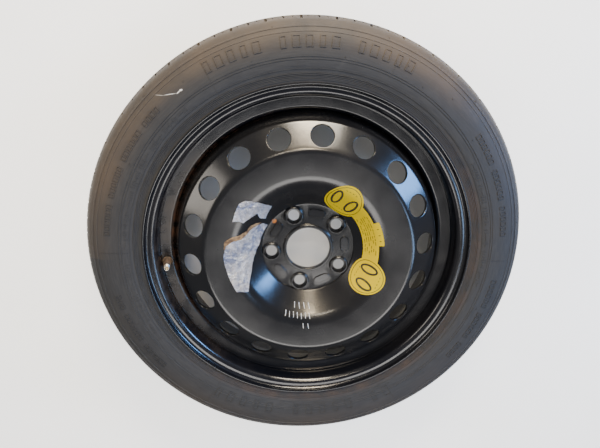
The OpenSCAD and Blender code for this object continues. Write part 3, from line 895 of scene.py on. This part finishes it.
def buildMarks():
    draw = random.Random(marks["seed"])
    plate = flatMark("plate", 10.0, 14.5, 5, 5, marks["line"])
    small = flatMark("small", 5.6, 8.0, 3, 3, 0.9)
    bar = flatMark("bar", 1.2, 6.0, 1, 3, lift=0.5)
    dash = flatMark("dash", 3.4, 1.2, 2, 1, lift=0.5)
    line = flatMark("line", 0.7, 30.0, 1, 12, lift=0.35)
    dot = flatMark("dot", 1.3, 1.3, 2, 2, lift=0.7)
    made = []
    # broad outlined plates over the top and the bottom
    for first, last, r, count, tall in ((117.0, 63.5, 280.4, 17, 1.0), (-122.0, -62.0, 263.5, 14, 1.15)):
        for i in range(count):
            if i % 6 == 5:
                continue
            wide = 0.9 + 0.16 * ((i * 5) % 3 - 1)
            made.append(layMark(plate, first + (last - first) * i / (count - 1), r, wide, tall))
    # smaller outlined plates at both sides
    sides = ((172.0, 134.0, 25), (36.0, 4.0, 21), (-10.0, -38.0, 18), (-142.0, -168.0, 17))
    for first, last, count in sides:
        for i in range(count):
            if i % 7 == 6:
                continue
            turn = first + (last - first) * i / (count - 1)
            made.append(layMark(small, turn, 277.0, 0.85 + 0.3 * draw.random()))
    # small marks in the band next to the bead
    spans = ((176.0, 128.0, 60), (30.0, -12.0, 46), (-60.0, -100.0, 44), (-150.0, -178.0, 30))
    for first, last, count in spans:
        for i in range(count):
            if i % 8 == 7:
                continue
            turn = first + (last - first) * i / (count - 1)
            kind = bar if draw.random() < 0.6 else dash
            at = 253.5 + 1.2 * draw.random() - 0.6
            made.append(layMark(kind, turn, at, 1.0, 0.8 + 0.25 * draw.random()))
    # lines left by the mould's joints, and a short cross over the top
    for turn, r, tall in ((117.9, 266.0, 1.65), (67.2, 267.0, 0.65), (-3.0, 269.0, 1.4), (-61.0, 267.0, 1.5),
                          (-123.5, 268.0, 1.5), (178.0, 268.0, 1.5), (93.5, 252.0, 0.38)):
        made.append(layMark(line, turn, r, 1.0, tall))
    made.append(layMark(line, 93.5, 252.0, 1.0, 0.66, 90))
    # stubs of the vents
    vents = [(266.7, 105.8), (265.0, 80.7), (279.5, 64.0), (267.4, 57.8), (279.7, 49.2), (280.7, 36.6),
             (268.1, 36.5), (276.6, 22.4), (268.0, -20.0), (270.0, -48.0), (271.0, -128.0), (268.0, 150.5),
             (281.0, 124.0), (268.0, -158.0), (300.0, 99.0), (301.0, 71.0), (300.5, 134.0), (300.0, 44.0),
             (300.0, 8.0), (300.0, -31.0), (300.0, -75.0), (300.0, -140.0), (300.0, 176.0)]
    for r, turn in vents:
        made.append(layMark(dot, turn, r))
    for proto in (plate, small, bar, dash, line, dot):
        bpy.data.objects.remove(proto, do_unlink=True)
    return smoothByAngle(joinAll(made, "sidewall_marks"), 30)


sidewallMarks = buildMarks()
print("sidewall marks made:", len(sidewallMarks.data.polygons), "faces")


# the valve

valve = dict(long=30.0, tip=7.7, tipLong=8.0, foot=15.2, neck=10.4, hole=11.5, sheet=2.5, fit=0.1,
             thread=0.8)


def buildValve():
    v = valve
    threadAt = v["long"] - v["tipLong"]
    low = -v["sheet"] - 9
    inner = -v["sheet"] - v["fit"]
    foot, neck, groove = v["foot"] / 2, v["neck"] / 2, v["hole"] / 2 - 0.05
    body = rounded([(3.05, low, 0), (5.0, low, 0.6), (5.8, low + 1.5, 0.8), (5.8, low + 3, 0.8),
                    (foot - 0.8, inner - 4, 1), (foot - 0.8, inner - 1.8, 0.6), (groove + 0.4, inner, 0),
                    (groove, inner, 0), (groove, v["fit"], 0), (foot - 0.5, v["fit"], 0.3),
                    (foot, v["fit"] + 1.3, 0.9), (foot - 1.1, 3.2, 1.4), (neck + 0.9, 7.5, 8),
                    (neck + 0.15, 12, 10), (neck + 0.15, 16.0, 0), (neck - 0.25, 16.4, 0),
                    (neck - 0.25, 17.2, 0),
                    (neck + 0.15, 17.6, 0), (neck, threadAt - 2.4, 0.8), (neck - 0.5, threadAt - 1.2, 0.3),
                    (3.05, threadAt - 1.2, 0)], 4)
    rubber = spinProfile("valve_rubber", thinned(body, 0.04), 64)
    rubber.data.transform(valveFrame())
    shoulder = v["long"] - 1.2 - 9.4 - 2
    r = v["tip"] / 2
    stem = [(3.0, low), (3.0, threadAt - 1), (r - 0.15, threadAt - 1), (r, threadAt - 0.8), (r, threadAt)]
    z = threadAt + 0.3
    while z < v["long"] - 0.9:
        stem += [(r, z), (r - 0.38, z + 0.28), (r - 0.38, z + 0.4), (r, z + 0.68)]
        z += v["thread"]
    stem += [(r, v["long"] - 0.5), (r - 0.4, v["long"]), (2.85, v["long"]), (2.65, v["long"] - 0.2),
             (2.65, shoulder + 1.6), (2.2, shoulder), (1.9, shoulder), (1.9, low)]
    metal = spinProfile("valve_thread", stem, 48)
    metal.data.transform(valveFrame())
    return smoothByAngle(rubber, 40), smoothByAngle(metal, 35)


valveRubber, valveThread = buildValve()
print("valve made")


# the yellow label

label = dict(roundWide=55.0, rounds=((64.5, 56.8), (69.0, -24.9)), strip=(64.0, 25.0),
             tab=(79.5, 10.0, 6.0, 26.0), gap=0.05, film=0.3, ringIn=2.4, stroke=3.1)


def flatFilm(name, outline, thick):
    # an outline in run and turn, filled and given its thickness; one degree is drawn one unit wide
    bpy.ops.object.select_all(action="DESELECT")
    bpy.ops.mesh.primitive_circle_add(vertices=len(outline), radius=1, fill_type="NGON")
    obj = named(name)
    for v, (run, turn) in zip(obj.data.vertices, outline):
        v.co = (run * mm, turn * mm, 0)
    bpy.ops.object.mode_set(mode="EDIT")
    bpy.ops.mesh.select_all(action="SELECT")
    bpy.ops.mesh.extrude_region_move(TRANSFORM_OT_translate={"value": (0, 0, thick * mm)})
    closeEdit()
    return obj


def diceFilm(obj, stepRun, stepTurn):
    # cuts across the film, so that it can follow the pressed sheet
    only(obj)
    low = [min(v.co[k] for v in obj.data.vertices) / mm for k in (0, 1)]
    high = [max(v.co[k] for v in obj.data.vertices) / mm for k in (0, 1)]
    bpy.ops.object.mode_set(mode="EDIT")
    for k, step in ((0, stepRun), (1, stepTurn)):
        at = math.ceil(low[k] / step) * step
        while at < high[k]:
            bpy.ops.mesh.select_all(action="SELECT")
            place = [0, 0, 0]
            normal = [0, 0, 0]
            place[k], normal[k] = (at + 0.0137) * mm, 1
            bpy.ops.mesh.bisect(plane_co=place, plane_no=normal)
            at += step
    bpy.ops.object.mode_set(mode="OBJECT")


def roundOutline(run, turn, wide, tall=None, steps=72):
    # a round of real size; its turn is measured along the sheet
    tall = tall or wide
    out = []
    for i in range(steps):
        a = 2 * math.pi * i / steps
        at = run + wide / 2 * math.cos(a)
        out.append((at, turn + math.degrees(tall / 2 * math.sin(a) / atRun(at)[0])))
    return out


def pressFilm(obj, base, lift=None):
    # base is the film's distance off the disc, and lift adds a wave to both of its faces
    for v in obj.data.vertices:
        run, turn, z = v.co.x / mm, v.co.y / mm, v.co.z / mm
        v.co = onDisc(run, turn, base + z + (lift(run, turn) if lift else 0.0))
    only(obj)
    bpy.ops.object.mode_set(mode="EDIT")
    closeEdit()


def buildLabel():
    s = label
    run, wide = s["strip"]
    turnA, turnB = s["rounds"][0][1], s["rounds"][1][1]
    film = flatFilm("label_film", [(run - wide / 2, turnB), (run + wide / 2, turnB), (run + wide / 2, turnA),
                                   (run - wide / 2, turnA)], s["film"])
    tabRun, tabWide, tabFrom, tabTo = s["tab"]
    near, far = tabRun - tabWide / 2, tabRun + tabWide / 2
    tab = [(near, tabFrom), (far - 1, tabFrom), (far, tabFrom + 0.8), (far, tabTo - 0.8), (far - 1, tabTo),
           (near, tabTo)]
    cutWith(film, flatFilm("tab", tab, s["film"]), "UNION")
    for at, turn in s["rounds"]:
        cutWith(film, flatFilm("end", roundOutline(at, turn, s["roundWide"]), s["film"]), "UNION")
    diceFilm(film, 2.5, 2.0)

    def wave(run, turn):
        return 0.10 * max(0.0, noise.noise(Vector((run * 0.09, turn * 0.08, 3.1))))
    pressFilm(film, s["gap"], wave)
    only(film)
    return smoothByAngle(film, 40), wave


labelFilm, labelWave = buildLabel()


def ringStrip(name, run, turn, wide, tall, stroke, thick=0.04, steps=64):
    # a printed ring: two outlines bridged into a flat band
    outer = roundOutline(run, turn, wide, tall, steps)
    inner = roundOutline(run, turn, wide - 2 * stroke, tall - 2 * stroke, steps)
    bpy.ops.object.select_all(action="DESELECT")
    bpy.ops.mesh.primitive_circle_add(vertices=steps, radius=1, fill_type="NOTHING")
    obj = named(name)
    for v, (a, b) in zip(obj.data.vertices, outer):
        v.co = (a * mm, b * mm, thick * mm)
    bpy.ops.object.mode_set(mode="EDIT")
    bpy.ops.mesh.primitive_circle_add(vertices=steps, radius=1, fill_type="NOTHING")
    bpy.ops.object.mode_set(mode="OBJECT")
    for v, (a, b) in zip(list(obj.data.vertices)[steps:], inner):
        v.co = (a * mm, b * mm, thick * mm)
    bpy.ops.object.mode_set(mode="EDIT")
    bpy.ops.mesh.select_mode(type="EDGE")
    bpy.ops.mesh.select_all(action="SELECT")
    bpy.ops.mesh.bridge_edge_loops()
    bpy.ops.mesh.select_all(action="SELECT")
    bpy.ops.mesh.extrude_region_move(TRANSFORM_OT_translate={"value": (0, 0, -thick * mm)})
    closeEdit()
    return obj


def dashFilm(name, run, turn, wide, long, thick=0.04, slant=0.0, steps=6):
    # a printed or drawn stroke; wide along the run, long along the turn, turned by slant in degrees
    outline = []
    c, s = math.cos(math.radians(slant)), math.sin(math.radians(slant))
    for side in (-1, 1):
        for i in range(steps + 1):
            along = -long / 2 + long * i / steps
            x, y = side * wide / 2, along * -side
            x, y = x * c - y * s, x * s + y * c
            outline.append((run + x, turn + math.degrees(y / atRun(run + x)[0])))
    return flatFilm(name, outline, thick)


def buildPrint():
    s = label
    top = s["gap"] + s["film"] - 0.005
    made = []
    for at, turn in s["rounds"]:
        made.append(ringStrip("edgeRing", at, turn, s["roundWide"] - 2 * s["ringIn"],
                              s["roundWide"] - 2 * s["ringIn"], 0.9, steps=96))
    for run, turn in ((65.0, 65.0), (62.5, 49.0), (67.5, -17.6), (70.5, -32.2)):
        made.append(ringStrip("oval", run, turn, 28.0, 15.0, s["stroke"]))
    draw = random.Random(11)
    for row in range(6):
        run = 55.0 + row * 3.4
        at = -3.0 + draw.random() * 3
        while at < 33.0:
            long = 2.5 + 5.5 * draw.random()
            made.append(dashFilm("dash", run, at + math.degrees(long / 2 / atRun(run)[0]), 0.8, long))
            at += math.degrees((long + 1.6) / atRun(run)[0])
            if draw.random() < 0.2:
                at += 4
    for at in (10.0, 15.0, 20.5):
        made.append(dashFilm("dash", 79.5, at, 2.6, 1.1))
    for at, turn in s["rounds"]:
        for i in range(4):
            made.append(dashFilm("dash", at - 17.5 + 0.2 * i, turn - 5 + 3.4 * i, 0.7, 2.4))
            made.append(dashFilm("dash", at + 18.5 - 0.2 * i, turn - 4 + 2.8 * i, 0.7, 2.6))
    for obj in made:
        if obj.name.startswith("dash"):
            diceFilm(obj, 2.5, 2.0)
        pressFilm(obj, top, labelWave)
    return joinAll(made, "label_print")


labelPrint = buildPrint()
print("yellow label made")


# the torn foil

foil = dict(
    upper=[(50, 141), (60, 127), (81, 132), (96, 137), (100, 141), (99, 145), (95, 154), (88, 152),
           (81, 152),
           (73, 144), (69, 140), (60, 143)],
    lower=[(48, 147), (39, 147), (41, 170), (47, 180), (62, 199), (81, 212), (95, 207), (96, 191), (98, 180),
           (95, 172), (86, 168), (75, 166), (66, 160), (65, 157), (55, 150)],
    paper=[(53, 146.6), (60, 149.0), (67.5, 153), (70, 158), (78, 162.3), (88, 164.8), (97.5, 169),
           (97, 174.5),
           (85, 171), (74, 169), (64, 163), (62, 158.5), (52, 152)],
    film=0.16, ragged=0.75, wrinkle=1.3)


def tornOutline(points, seed, ragged):
    # the outline's edges are broken up into short, uneven steps
    out = []
    for i, a in enumerate(points):
        b = points[(i + 1) % len(points)]
        wide = atRun((a[0] + b[0]) / 2)[0] * math.pi / 180
        length = math.hypot(b[0] - a[0], (b[1] - a[1]) * wide)
        steps = max(2, int(length / 1.6))
        for k in range(steps):
            t = k / steps
            x, y = a[0] + (b[0] - a[0]) * t, a[1] + (b[1] - a[1]) * t
            at = Vector((x * 0.55, y * 0.55 * wide, seed))
            push = ragged * (0.3 if k == 0 else 1.0)
            out.append((x + push * noise.noise(at), y + push * noise.noise(at + Vector((9, 4, 2))) / wide))
    return out


def wrinkles(seed, high):
    def lift(run, turn):
        x, y = run, turn * 1.5
        ridge = 0.0
        for k, (size, share) in enumerate(((0.085, 1.0), (0.19, 0.55), (0.42, 0.25))):
            n = noise.noise(Vector((x * size + 0.6 * y * size * 0.3, y * size * 0.8, seed + k)))
            ridge += share * (1 - min(1.0, abs(n) * 3.2)) ** 2
        return high * 0.5 * ridge
    return lift


def buildFoil(name, outline, seed, base, film, high, ragged):
    piece = flatFilm(name, tornOutline(outline, seed, ragged), film)
    diceFilm(piece, 1.3, 1.1)
    pressFilm(piece, base, wrinkles(seed, high))
    return smoothByAngle(piece, 50)


foilUpper = buildFoil("foil_upper", foil["upper"], 2.3, 0.12, foil["film"], foil["wrinkle"], foil["ragged"])
foilLower = buildFoil("foil_lower", foil["lower"], 7.9, 0.16, foil["film"], foil["wrinkle"], foil["ragged"])
foilPaper = buildFoil("foil_paper", foil["paper"], 5.1, 0.05, 0.12, 0.35, 1.0)
print("foil made")


# strokes of a white marker, plain tallies

def buildStrokes():
    made = []
    rows = ((60.0, -104.0, 4, 7.2, 9.5), (75.0, -110.5, 7, 6.0, 9.0), (90.0, -94.5, 2, 7.5, 8.0))
    for run, first, count, pitch, tall in rows:
        r = atRun(run)[0]
        for i in range(count):
            turn = first + math.degrees(pitch * i / r)
            at = run + 0.5 * math.sin(i * 2.1)
            made.append(dashFilm("stroke", at, turn, tall, 1.0, 0.03, 9 + 3 * math.sin(i), 2))
    for obj in made:
        diceFilm(obj, 1.6, 4.0)
        pressFilm(obj, 0.005)
    return joinAll(made, "marker_strokes")


markerStrokes = buildStrokes()
print("strokes made")


# finishes

def paintBlack(name, ground, sheen, dirt):
    m = Paint(name)
    r, turn = m.radius(), m.turn()
    veil = m.ramp(m.noise(8, 4, 0.55), 0.35, 0.85)
    fine = m.ramp(m.noise(260, 3, 0.6), 0.58, 0.80)
    dust = m.math("ADD", m.math("MULTIPLY", veil, 0.8), m.math("MULTIPLY", fine, 0.35))
    dust = m.math("MULTIPLY", dust, dirt)
    # brown dust over the barrel's left side, and rust along the joint with the disc
    left = m.ramp(m.math("ABSOLUTE", m.math("SUBTRACT", m.math("ABSOLUTE", turn), 180.0)), 20, 75, 1.0, 0.0)
    upper = m.near(turn, 150.0, 30.0, 28.0)
    barrelDust = m.math("MULTIPLY", m.math("MULTIPLY", left, m.ramp(r, 196, 202)), m.ramp(r, 214, 222, 1, 0))
    barrelDust = m.math("MULTIPLY", barrelDust, m.ramp(m.noise(26, 5, 0.65), 0.3, 0.75))
    upper = m.math("MAXIMUM", upper, m.math("MULTIPLY", left, 0.6))
    joint = m.math("MULTIPLY", m.near(r, 197.6, 0.9, 2.2), upper)
    joint = m.math("MULTIPLY", joint, m.ramp(m.noise(75, 4, 0.6), 0.38, 0.66))
    speck = m.math("MULTIPLY", m.spot(-49.3, 42.6, 2.2, 2.2), m.ramp(m.noise(420, 3), 0.42, 0.52))
    colour = m.mix(dust, ground, (0.055, 0.047, 0.040))
    colour = m.mix(m.math("MULTIPLY", barrelDust, 0.42), colour, (0.105, 0.078, 0.058))
    colour = m.mix(m.math("MULTIPLY", joint, 0.6), colour, (0.12, 0.055, 0.03))
    colour = m.mix(speck, colour, (0.48, 0.15, 0.02))
    rough = m.math("ADD", m.ramp(m.noise(30, 3, 0.5), 0.3, 0.75, sheen - 0.03, sheen + 0.05),
                   m.math("MULTIPLY", m.math("ADD", barrelDust, joint), 0.3))
    peel = m.bump(m.noise(330, 2, 0.5), 0.05, 0.0003)
    grit = m.bump(m.noise(1700, 2, 0.6), 0.02, 0.0002, peel)
    return m.finish(colour, rough, grit, Specular_IOR_Level=0.5, Coat_Weight=0.5, Coat_Roughness=0.14)


def weldPaint():
    m = Paint("weld_paint")
    colour = m.mix(m.ramp(m.noise(90, 4), 0.4, 0.7), (0.014, 0.013, 0.013), (0.09, 0.045, 0.025))
    return m.finish(colour, 0.5, m.bump(m.noise(420, 3), 0.5, 0.0006))


def dustyRubberAndPaintedLight():
    m = Paint("dusty_rubber_and_painted_light")
    r, turn = m.radius(), m.turn()
    polar = m.node("ShaderNodeCombineXYZ")
    m.link(m.math("MULTIPLY", r, 0.09), polar.inputs[0])
    m.link(m.math("MULTIPLY", turn, 0.035), polar.inputs[1])
    bands = m.noise(6.0, 5, 0.6, polar.outputs[0])
    veil = m.ramp(m.noise(7, 5, 0.6), 0.3, 0.75)
    scuffs = m.ramp(m.noise(34, 6, 0.7, distortion=0.6), 0.56, 0.8)
    ground = m.mix(m.ramp(bands, 0.3, 0.7), (0.022, 0.0235, 0.0275), (0.034, 0.035, 0.038))
    colour = m.mix(m.math("MULTIPLY", veil, 0.25), ground, (0.060, 0.055, 0.050))
    colour = m.mix(m.math("MULTIPLY", scuffs, 0.25), colour, (0.085, 0.080, 0.075))
    # warm dust and painted light on the outer half: most of it over the top and the left, lightening the top
    # as if lit, some at the bottom
    under = m.math("MULTIPLY", m.near(turn, -95.0, 25.0, 50.0), 0.5)
    over = m.math("ADD", m.near(turn, 105.0, 40.0, 60.0), under)
    over = m.math("MULTIPLY", over, m.ramp(r, 262, 290))
    over = m.math("MULTIPLY", over, m.ramp(m.noise(12, 4, 0.6), 0.2, 0.7))
    colour = m.mix(m.math("MULTIPLY", over, 0.62), colour, (0.105, 0.076, 0.052))
    # reddish brown dust on the bead's ridges, most of it low on the right
    bead = m.math("MULTIPLY", m.near(r, 240.0, 4.0, 5.0), m.near(turn, -48.0, 55.0, 50.0))
    colour = m.mix(m.math("MULTIPLY", m.math("MULTIPLY", bead, m.ramp(m.noise(45, 4), 0.3, 0.7)), 0.30),
                   colour, (0.11, 0.065, 0.045))
    # a white scuff with a thin tail, high on the left
    scuff = m.streak(-160.6, 222.7, 22, 2.6, 1.4, 0.4)
    scuff = m.math("MAXIMUM", scuff, m.streak(-163.6, 220.4, 40, 4.0, 0.9, 0.5))
    scuff = m.math("MAXIMUM", scuff, m.math("MULTIPLY", m.streak(-174.0, 217.8, 8, 11.0, 0.7, 0.6), 0.7))
    scuff = m.math("MAXIMUM", scuff, m.math("MULTIPLY", m.streak(-187.5, 216.6, -4, 8.0, 0.6, 0.7), 0.45))
    scuff = m.math("MULTIPLY", scuff, m.ramp(m.noise(420, 3), 0.22, 0.45))
    colour = m.mix(scuff, colour, (0.75, 0.74, 0.72))
    rough = m.ramp(veil, 0, 1, 0.62, 0.8)
    grain = m.bump(m.noise(900, 3, 0.6), 0.22, 0.0004)
    rings = m.bump(m.noise(30.0, 2, 0.5, polar.outputs[0]), 0.12, 0.0005, grain)
    return m.finish(colour, rough, rings, Specular_IOR_Level=0.42)


def valveRubberFinish():
    m = Paint("valve_rubber_dust")
    dust = m.ramp(m.noise(160, 4, 0.65), 0.35, 0.7)
    colour = m.mix(dust, (0.035, 0.027, 0.024), (0.15, 0.10, 0.07))
    return m.finish(colour, 0.75, m.bump(m.noise(1500, 3), 0.2, 0.0003))


def bareMetal(name, colour, rough, tarnish):
    m = Paint(name)
    stain = m.ramp(m.noise(420, 4, 0.6), 0.4, 0.75)
    shade = m.mix(m.math("MULTIPLY", stain, tarnish), colour, tuple(c * 0.45 for c in colour))
    return m.finish(shade, m.ramp(stain, 0, 1, rough, rough + 0.2), m.bump(m.noise(2600, 2), 0.08, 0.0002),
                    metallic=1.0)


def gasketRubber():
    m = Paint("gasket_rubber")
    colour = m.mix(m.ramp(m.noise(900, 3), 0.4, 0.7), (0.10, 0.035, 0.03), (0.05, 0.02, 0.02))
    return m.finish(colour, 0.6, m.bump(m.noise(2500, 2), 0.15, 0.0002))


def yellowFilm():
    m = Paint("yellow_film")
    worn = m.ramp(m.noise(38, 4, 0.6), 0.45, 0.8)
    colour = m.mix(m.math("MULTIPLY", worn, 0.35), (0.66, 0.49, 0.0), (0.56, 0.40, 0.002))
    specks = m.ramp(m.noise(310, 2), 0.70, 0.78)
    colour = m.mix(m.math("MULTIPLY", specks, 0.5), colour, (0.22, 0.17, 0.04))
    creases = m.bump(m.noise(55, 3, 0.5, distortion=0.8), 0.10, 0.0012)
    return m.finish(colour, m.ramp(worn, 0, 1, 0.5, 0.65), m.bump(m.noise(800, 2), 0.04, 0.0002, creases),
                    Specular_IOR_Level=0.06)


def printInk():
    m = Paint("print_ink")
    colour = m.mix(m.ramp(m.noise(260, 3), 0.45, 0.8), (0.018, 0.017, 0.014), (0.09, 0.075, 0.02))
    return m.finish(colour, 0.42)


def silverFoil():
    m = Paint("silver_foil")
    blotch = m.ramp(m.noise(48, 4, 0.6, distortion=0.5), 0.38, 0.66)
    colour = m.mix(blotch, (0.66, 0.64, 0.66), (0.24, 0.28, 0.42))
    worn = m.ramp(m.noise(130, 5, 0.7, distortion=1.0), 0.47, 0.60)
    colour = m.mix(m.math("MULTIPLY", worn, 0.75), colour, (0.86, 0.86, 0.88))
    stain = m.math("MULTIPLY", m.spot(-60, -22, 9, 9), m.ramp(m.noise(120, 3), 0.4, 0.6))
    colour = m.mix(stain, colour, (0.26, 0.16, 0.08))
    dirt = m.ramp(m.noise(180, 5, 0.75, distortion=0.6), 0.58, 0.68)
    colour = m.mix(m.math("MULTIPLY", dirt, 0.85), colour, (0.055, 0.05, 0.06))
    folds = m.bump(m.noise(75, 5, 0.65, distortion=2.0), 1.0, 0.006)
    return m.finish(colour, m.ramp(blotch, 0, 1, 0.28, 0.48), m.bump(m.noise(420, 3), 0.6, 0.0012, folds),
                    metallic=0.6)


def tornPaper():
    m = Paint("torn_paper")
    colour = m.mix(m.ramp(m.noise(150, 4, 0.6), 0.35, 0.65), (0.40, 0.26, 0.13), (0.10, 0.06, 0.035))
    return m.finish(colour, 0.85, m.bump(m.noise(700, 4, 0.7), 0.5, 0.0006))


def whiteMarker():
    m = Paint("white_marker")
    colour = m.mix(m.ramp(m.noise(380, 3), 0.4, 0.65), (0.72, 0.73, 0.74), (0.34, 0.35, 0.37))
    return m.finish(colour, 0.6, m.bump(m.noise(1300, 2), 0.2, 0.0002))


rubber = dustyRubberAndPaintedLight()
black = paintBlack("black_paint", (0.0045, 0.005, 0.0065), 0.23, 0.20)
dress(casing, rubber)
dress(sidewallMarks, rubber)
dress(barrel, paintBlack("barrel_paint", (0.0040, 0.0047, 0.0075), 0.19, 0.12))
dress(wheelDisc, black)
dress(valveRubber, valveRubberFinish())
dress(valveThread, bareMetal("dull_nickel", (0.52, 0.50, 0.46), 0.34, 0.6))
dress(labelFilm, yellowFilm())
dress(labelPrint, printInk())
silver = silverFoil()
dress(foilUpper, silver)
dress(foilLower, silver)
dress(foilPaper, tornPaper())
dress(markerStrokes, whiteMarker())
steel = bareMetal("pin_steel", (0.55, 0.55, 0.56), 0.25, 0.3)
gasket = gasketRubber()
brass = bareMetal("brass", (0.70, 0.50, 0.22), 0.3, 0.5)
carriedOver = dict(disc_welds=weldPaint(), core_barrel=brass, core_gasket=gasket, core_washer=gasket,
                   core_pin=steel, core_spring=steel)
for node, finish in carriedOver.items():
    dress(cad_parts[node], finish)
print("finishes set")


# floor and lights

studio = dict(
    key=dict(way=(0.12, 0.88, 0.46), far=1.7, size=(0.80, 0.40), power=34, colour=(1.0, 0.90, 0.73)),
    lamp=dict(way=(0.06, 0.85, 0.51), far=1.7, size=(0.30, 0.15), power=9, colour=(1.0, 0.76, 0.46)),
    strip=dict(way=(-0.02, 0.50, 0.86), far=1.7, size=(0.7, 0.07), power=6, colour=(1.0, 0.88, 0.70)),
    side=dict(way=(0.85, 0.27, 0.44), far=1.6, size=(0.42, 0.42), power=19, colour=(0.20, 0.46, 1.0)),
    sky=dict(way=(0.56, -0.28, 0.78), far=1.7, size=(0.22, 0.8), power=6, colour=(0.36, 0.60, 1.0)),
    window=dict(way=(0.04, 0.60, 0.71), far=1.7, size=(0.26, 0.16), power=7, colour=(1.0, 0.80, 0.52)),
    left=dict(way=(-0.86, 0.25, 0.44), far=1.8, size=(0.8, 0.5), power=7, colour=(1.0, 0.92, 0.82)),
    low=dict(way=(0.05, -0.55, 0.83), far=1.8, size=(1.5, 0.5), power=14, colour=(1.0, 0.97, 0.93)),
    # floor: the floor's painted glow under the wheel and outside it, dim beneath as painted shade
    world=(0.19, 0.19, 0.20), floor=(0.05, 1.9))


def buildFloor():
    bpy.ops.object.select_all(action="DESELECT")
    bpy.ops.mesh.primitive_plane_add(size=9)
    floor = named("floor")
    floor.data.transform(Matrix.Translation((0, 0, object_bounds()[0].z)))
    m = Paint("floor_glow_and_painted_shade")
    colour = m.mix(m.ramp(m.noise(2.2, 3), 0.3, 0.7), (0.80, 0.79, 0.76), (0.84, 0.83, 0.81))
    # the floor glows, painted light that lifts the picture's ground; under the wheel the glow stays dimmer,
    # a painted shade
    m.link(colour, m.shader.inputs["Emission Color"])
    m.link(m.ramp(m.radius(), 230, 330, *studio["floor"]), m.shader.inputs["Emission Strength"])
    dress(floor, m.finish(colour, 0.8, m.bump(m.noise(40, 3), 0.03, 0.001)))
    return floor


def addLight(name, way, far, size, power, colour):
    data = bpy.data.lights.new(name, "AREA")
    data.shape = "RECTANGLE"
    data.size, data.size_y = size
    data.energy = power
    data.color = colour
    lamp = bpy.data.objects.new(name, data)
    lamp.location = Vector(way).normalized() * far
    lamp.rotation_euler = (-lamp.location).to_track_quat("-Z", "Y").to_euler()
    bpy.context.scene.collection.objects.link(lamp)


def setStudio():
    for name in ("key", "lamp", "strip", "side", "sky", "window", "left", "low"):
        addLight(name, **studio[name])
    # a lamp hidden under the disc lightens the floor seen through the holes
    data = bpy.data.lights.new("under", "AREA")
    data.shape = "DISK"
    data.size = 0.16
    data.energy = 0.05
    lamp = bpy.data.objects.new("under", data)
    lamp.location = (0, 0, -0.02)
    bpy.context.scene.collection.objects.link(lamp)
    world = bpy.context.scene.world or bpy.data.worlds.new("studio")
    bpy.context.scene.world = world
    world.use_nodes = True
    world.node_tree.nodes["Background"].inputs["Color"].default_value = (*studio["world"], 1.0)
    world.node_tree.nodes["Background"].inputs["Strength"].default_value = 1.0


buildFloor()
setStudio()
print("floor and lights set")


# hand-over to the frame

for piece, slot, nodes in (
        (casing, "tyre_rubber", ["tyre"]), (sidewallMarks, "tyre_rubber", []),
        (barrel, "black_paint", ["rim"]),
        (wheelDisc, "black_paint", ["disc"]), (valveRubber, "valve_rubber", ["valve_body"]),
        (valveThread, "nickel", ["valve_stem"]), (labelFilm, "yellow_film", ["speed_label"]),
        (labelPrint, "yellow_film", []), (foilUpper, "foil_film", ["torn_label_upper"]),
        (foilLower, "foil_film", ["torn_label_lower"]), (foilPaper, "foil_film", []),
        (markerStrokes, "black_paint", [])):
    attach(piece, "wheel")
    if nodes:
        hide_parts(*nodes)
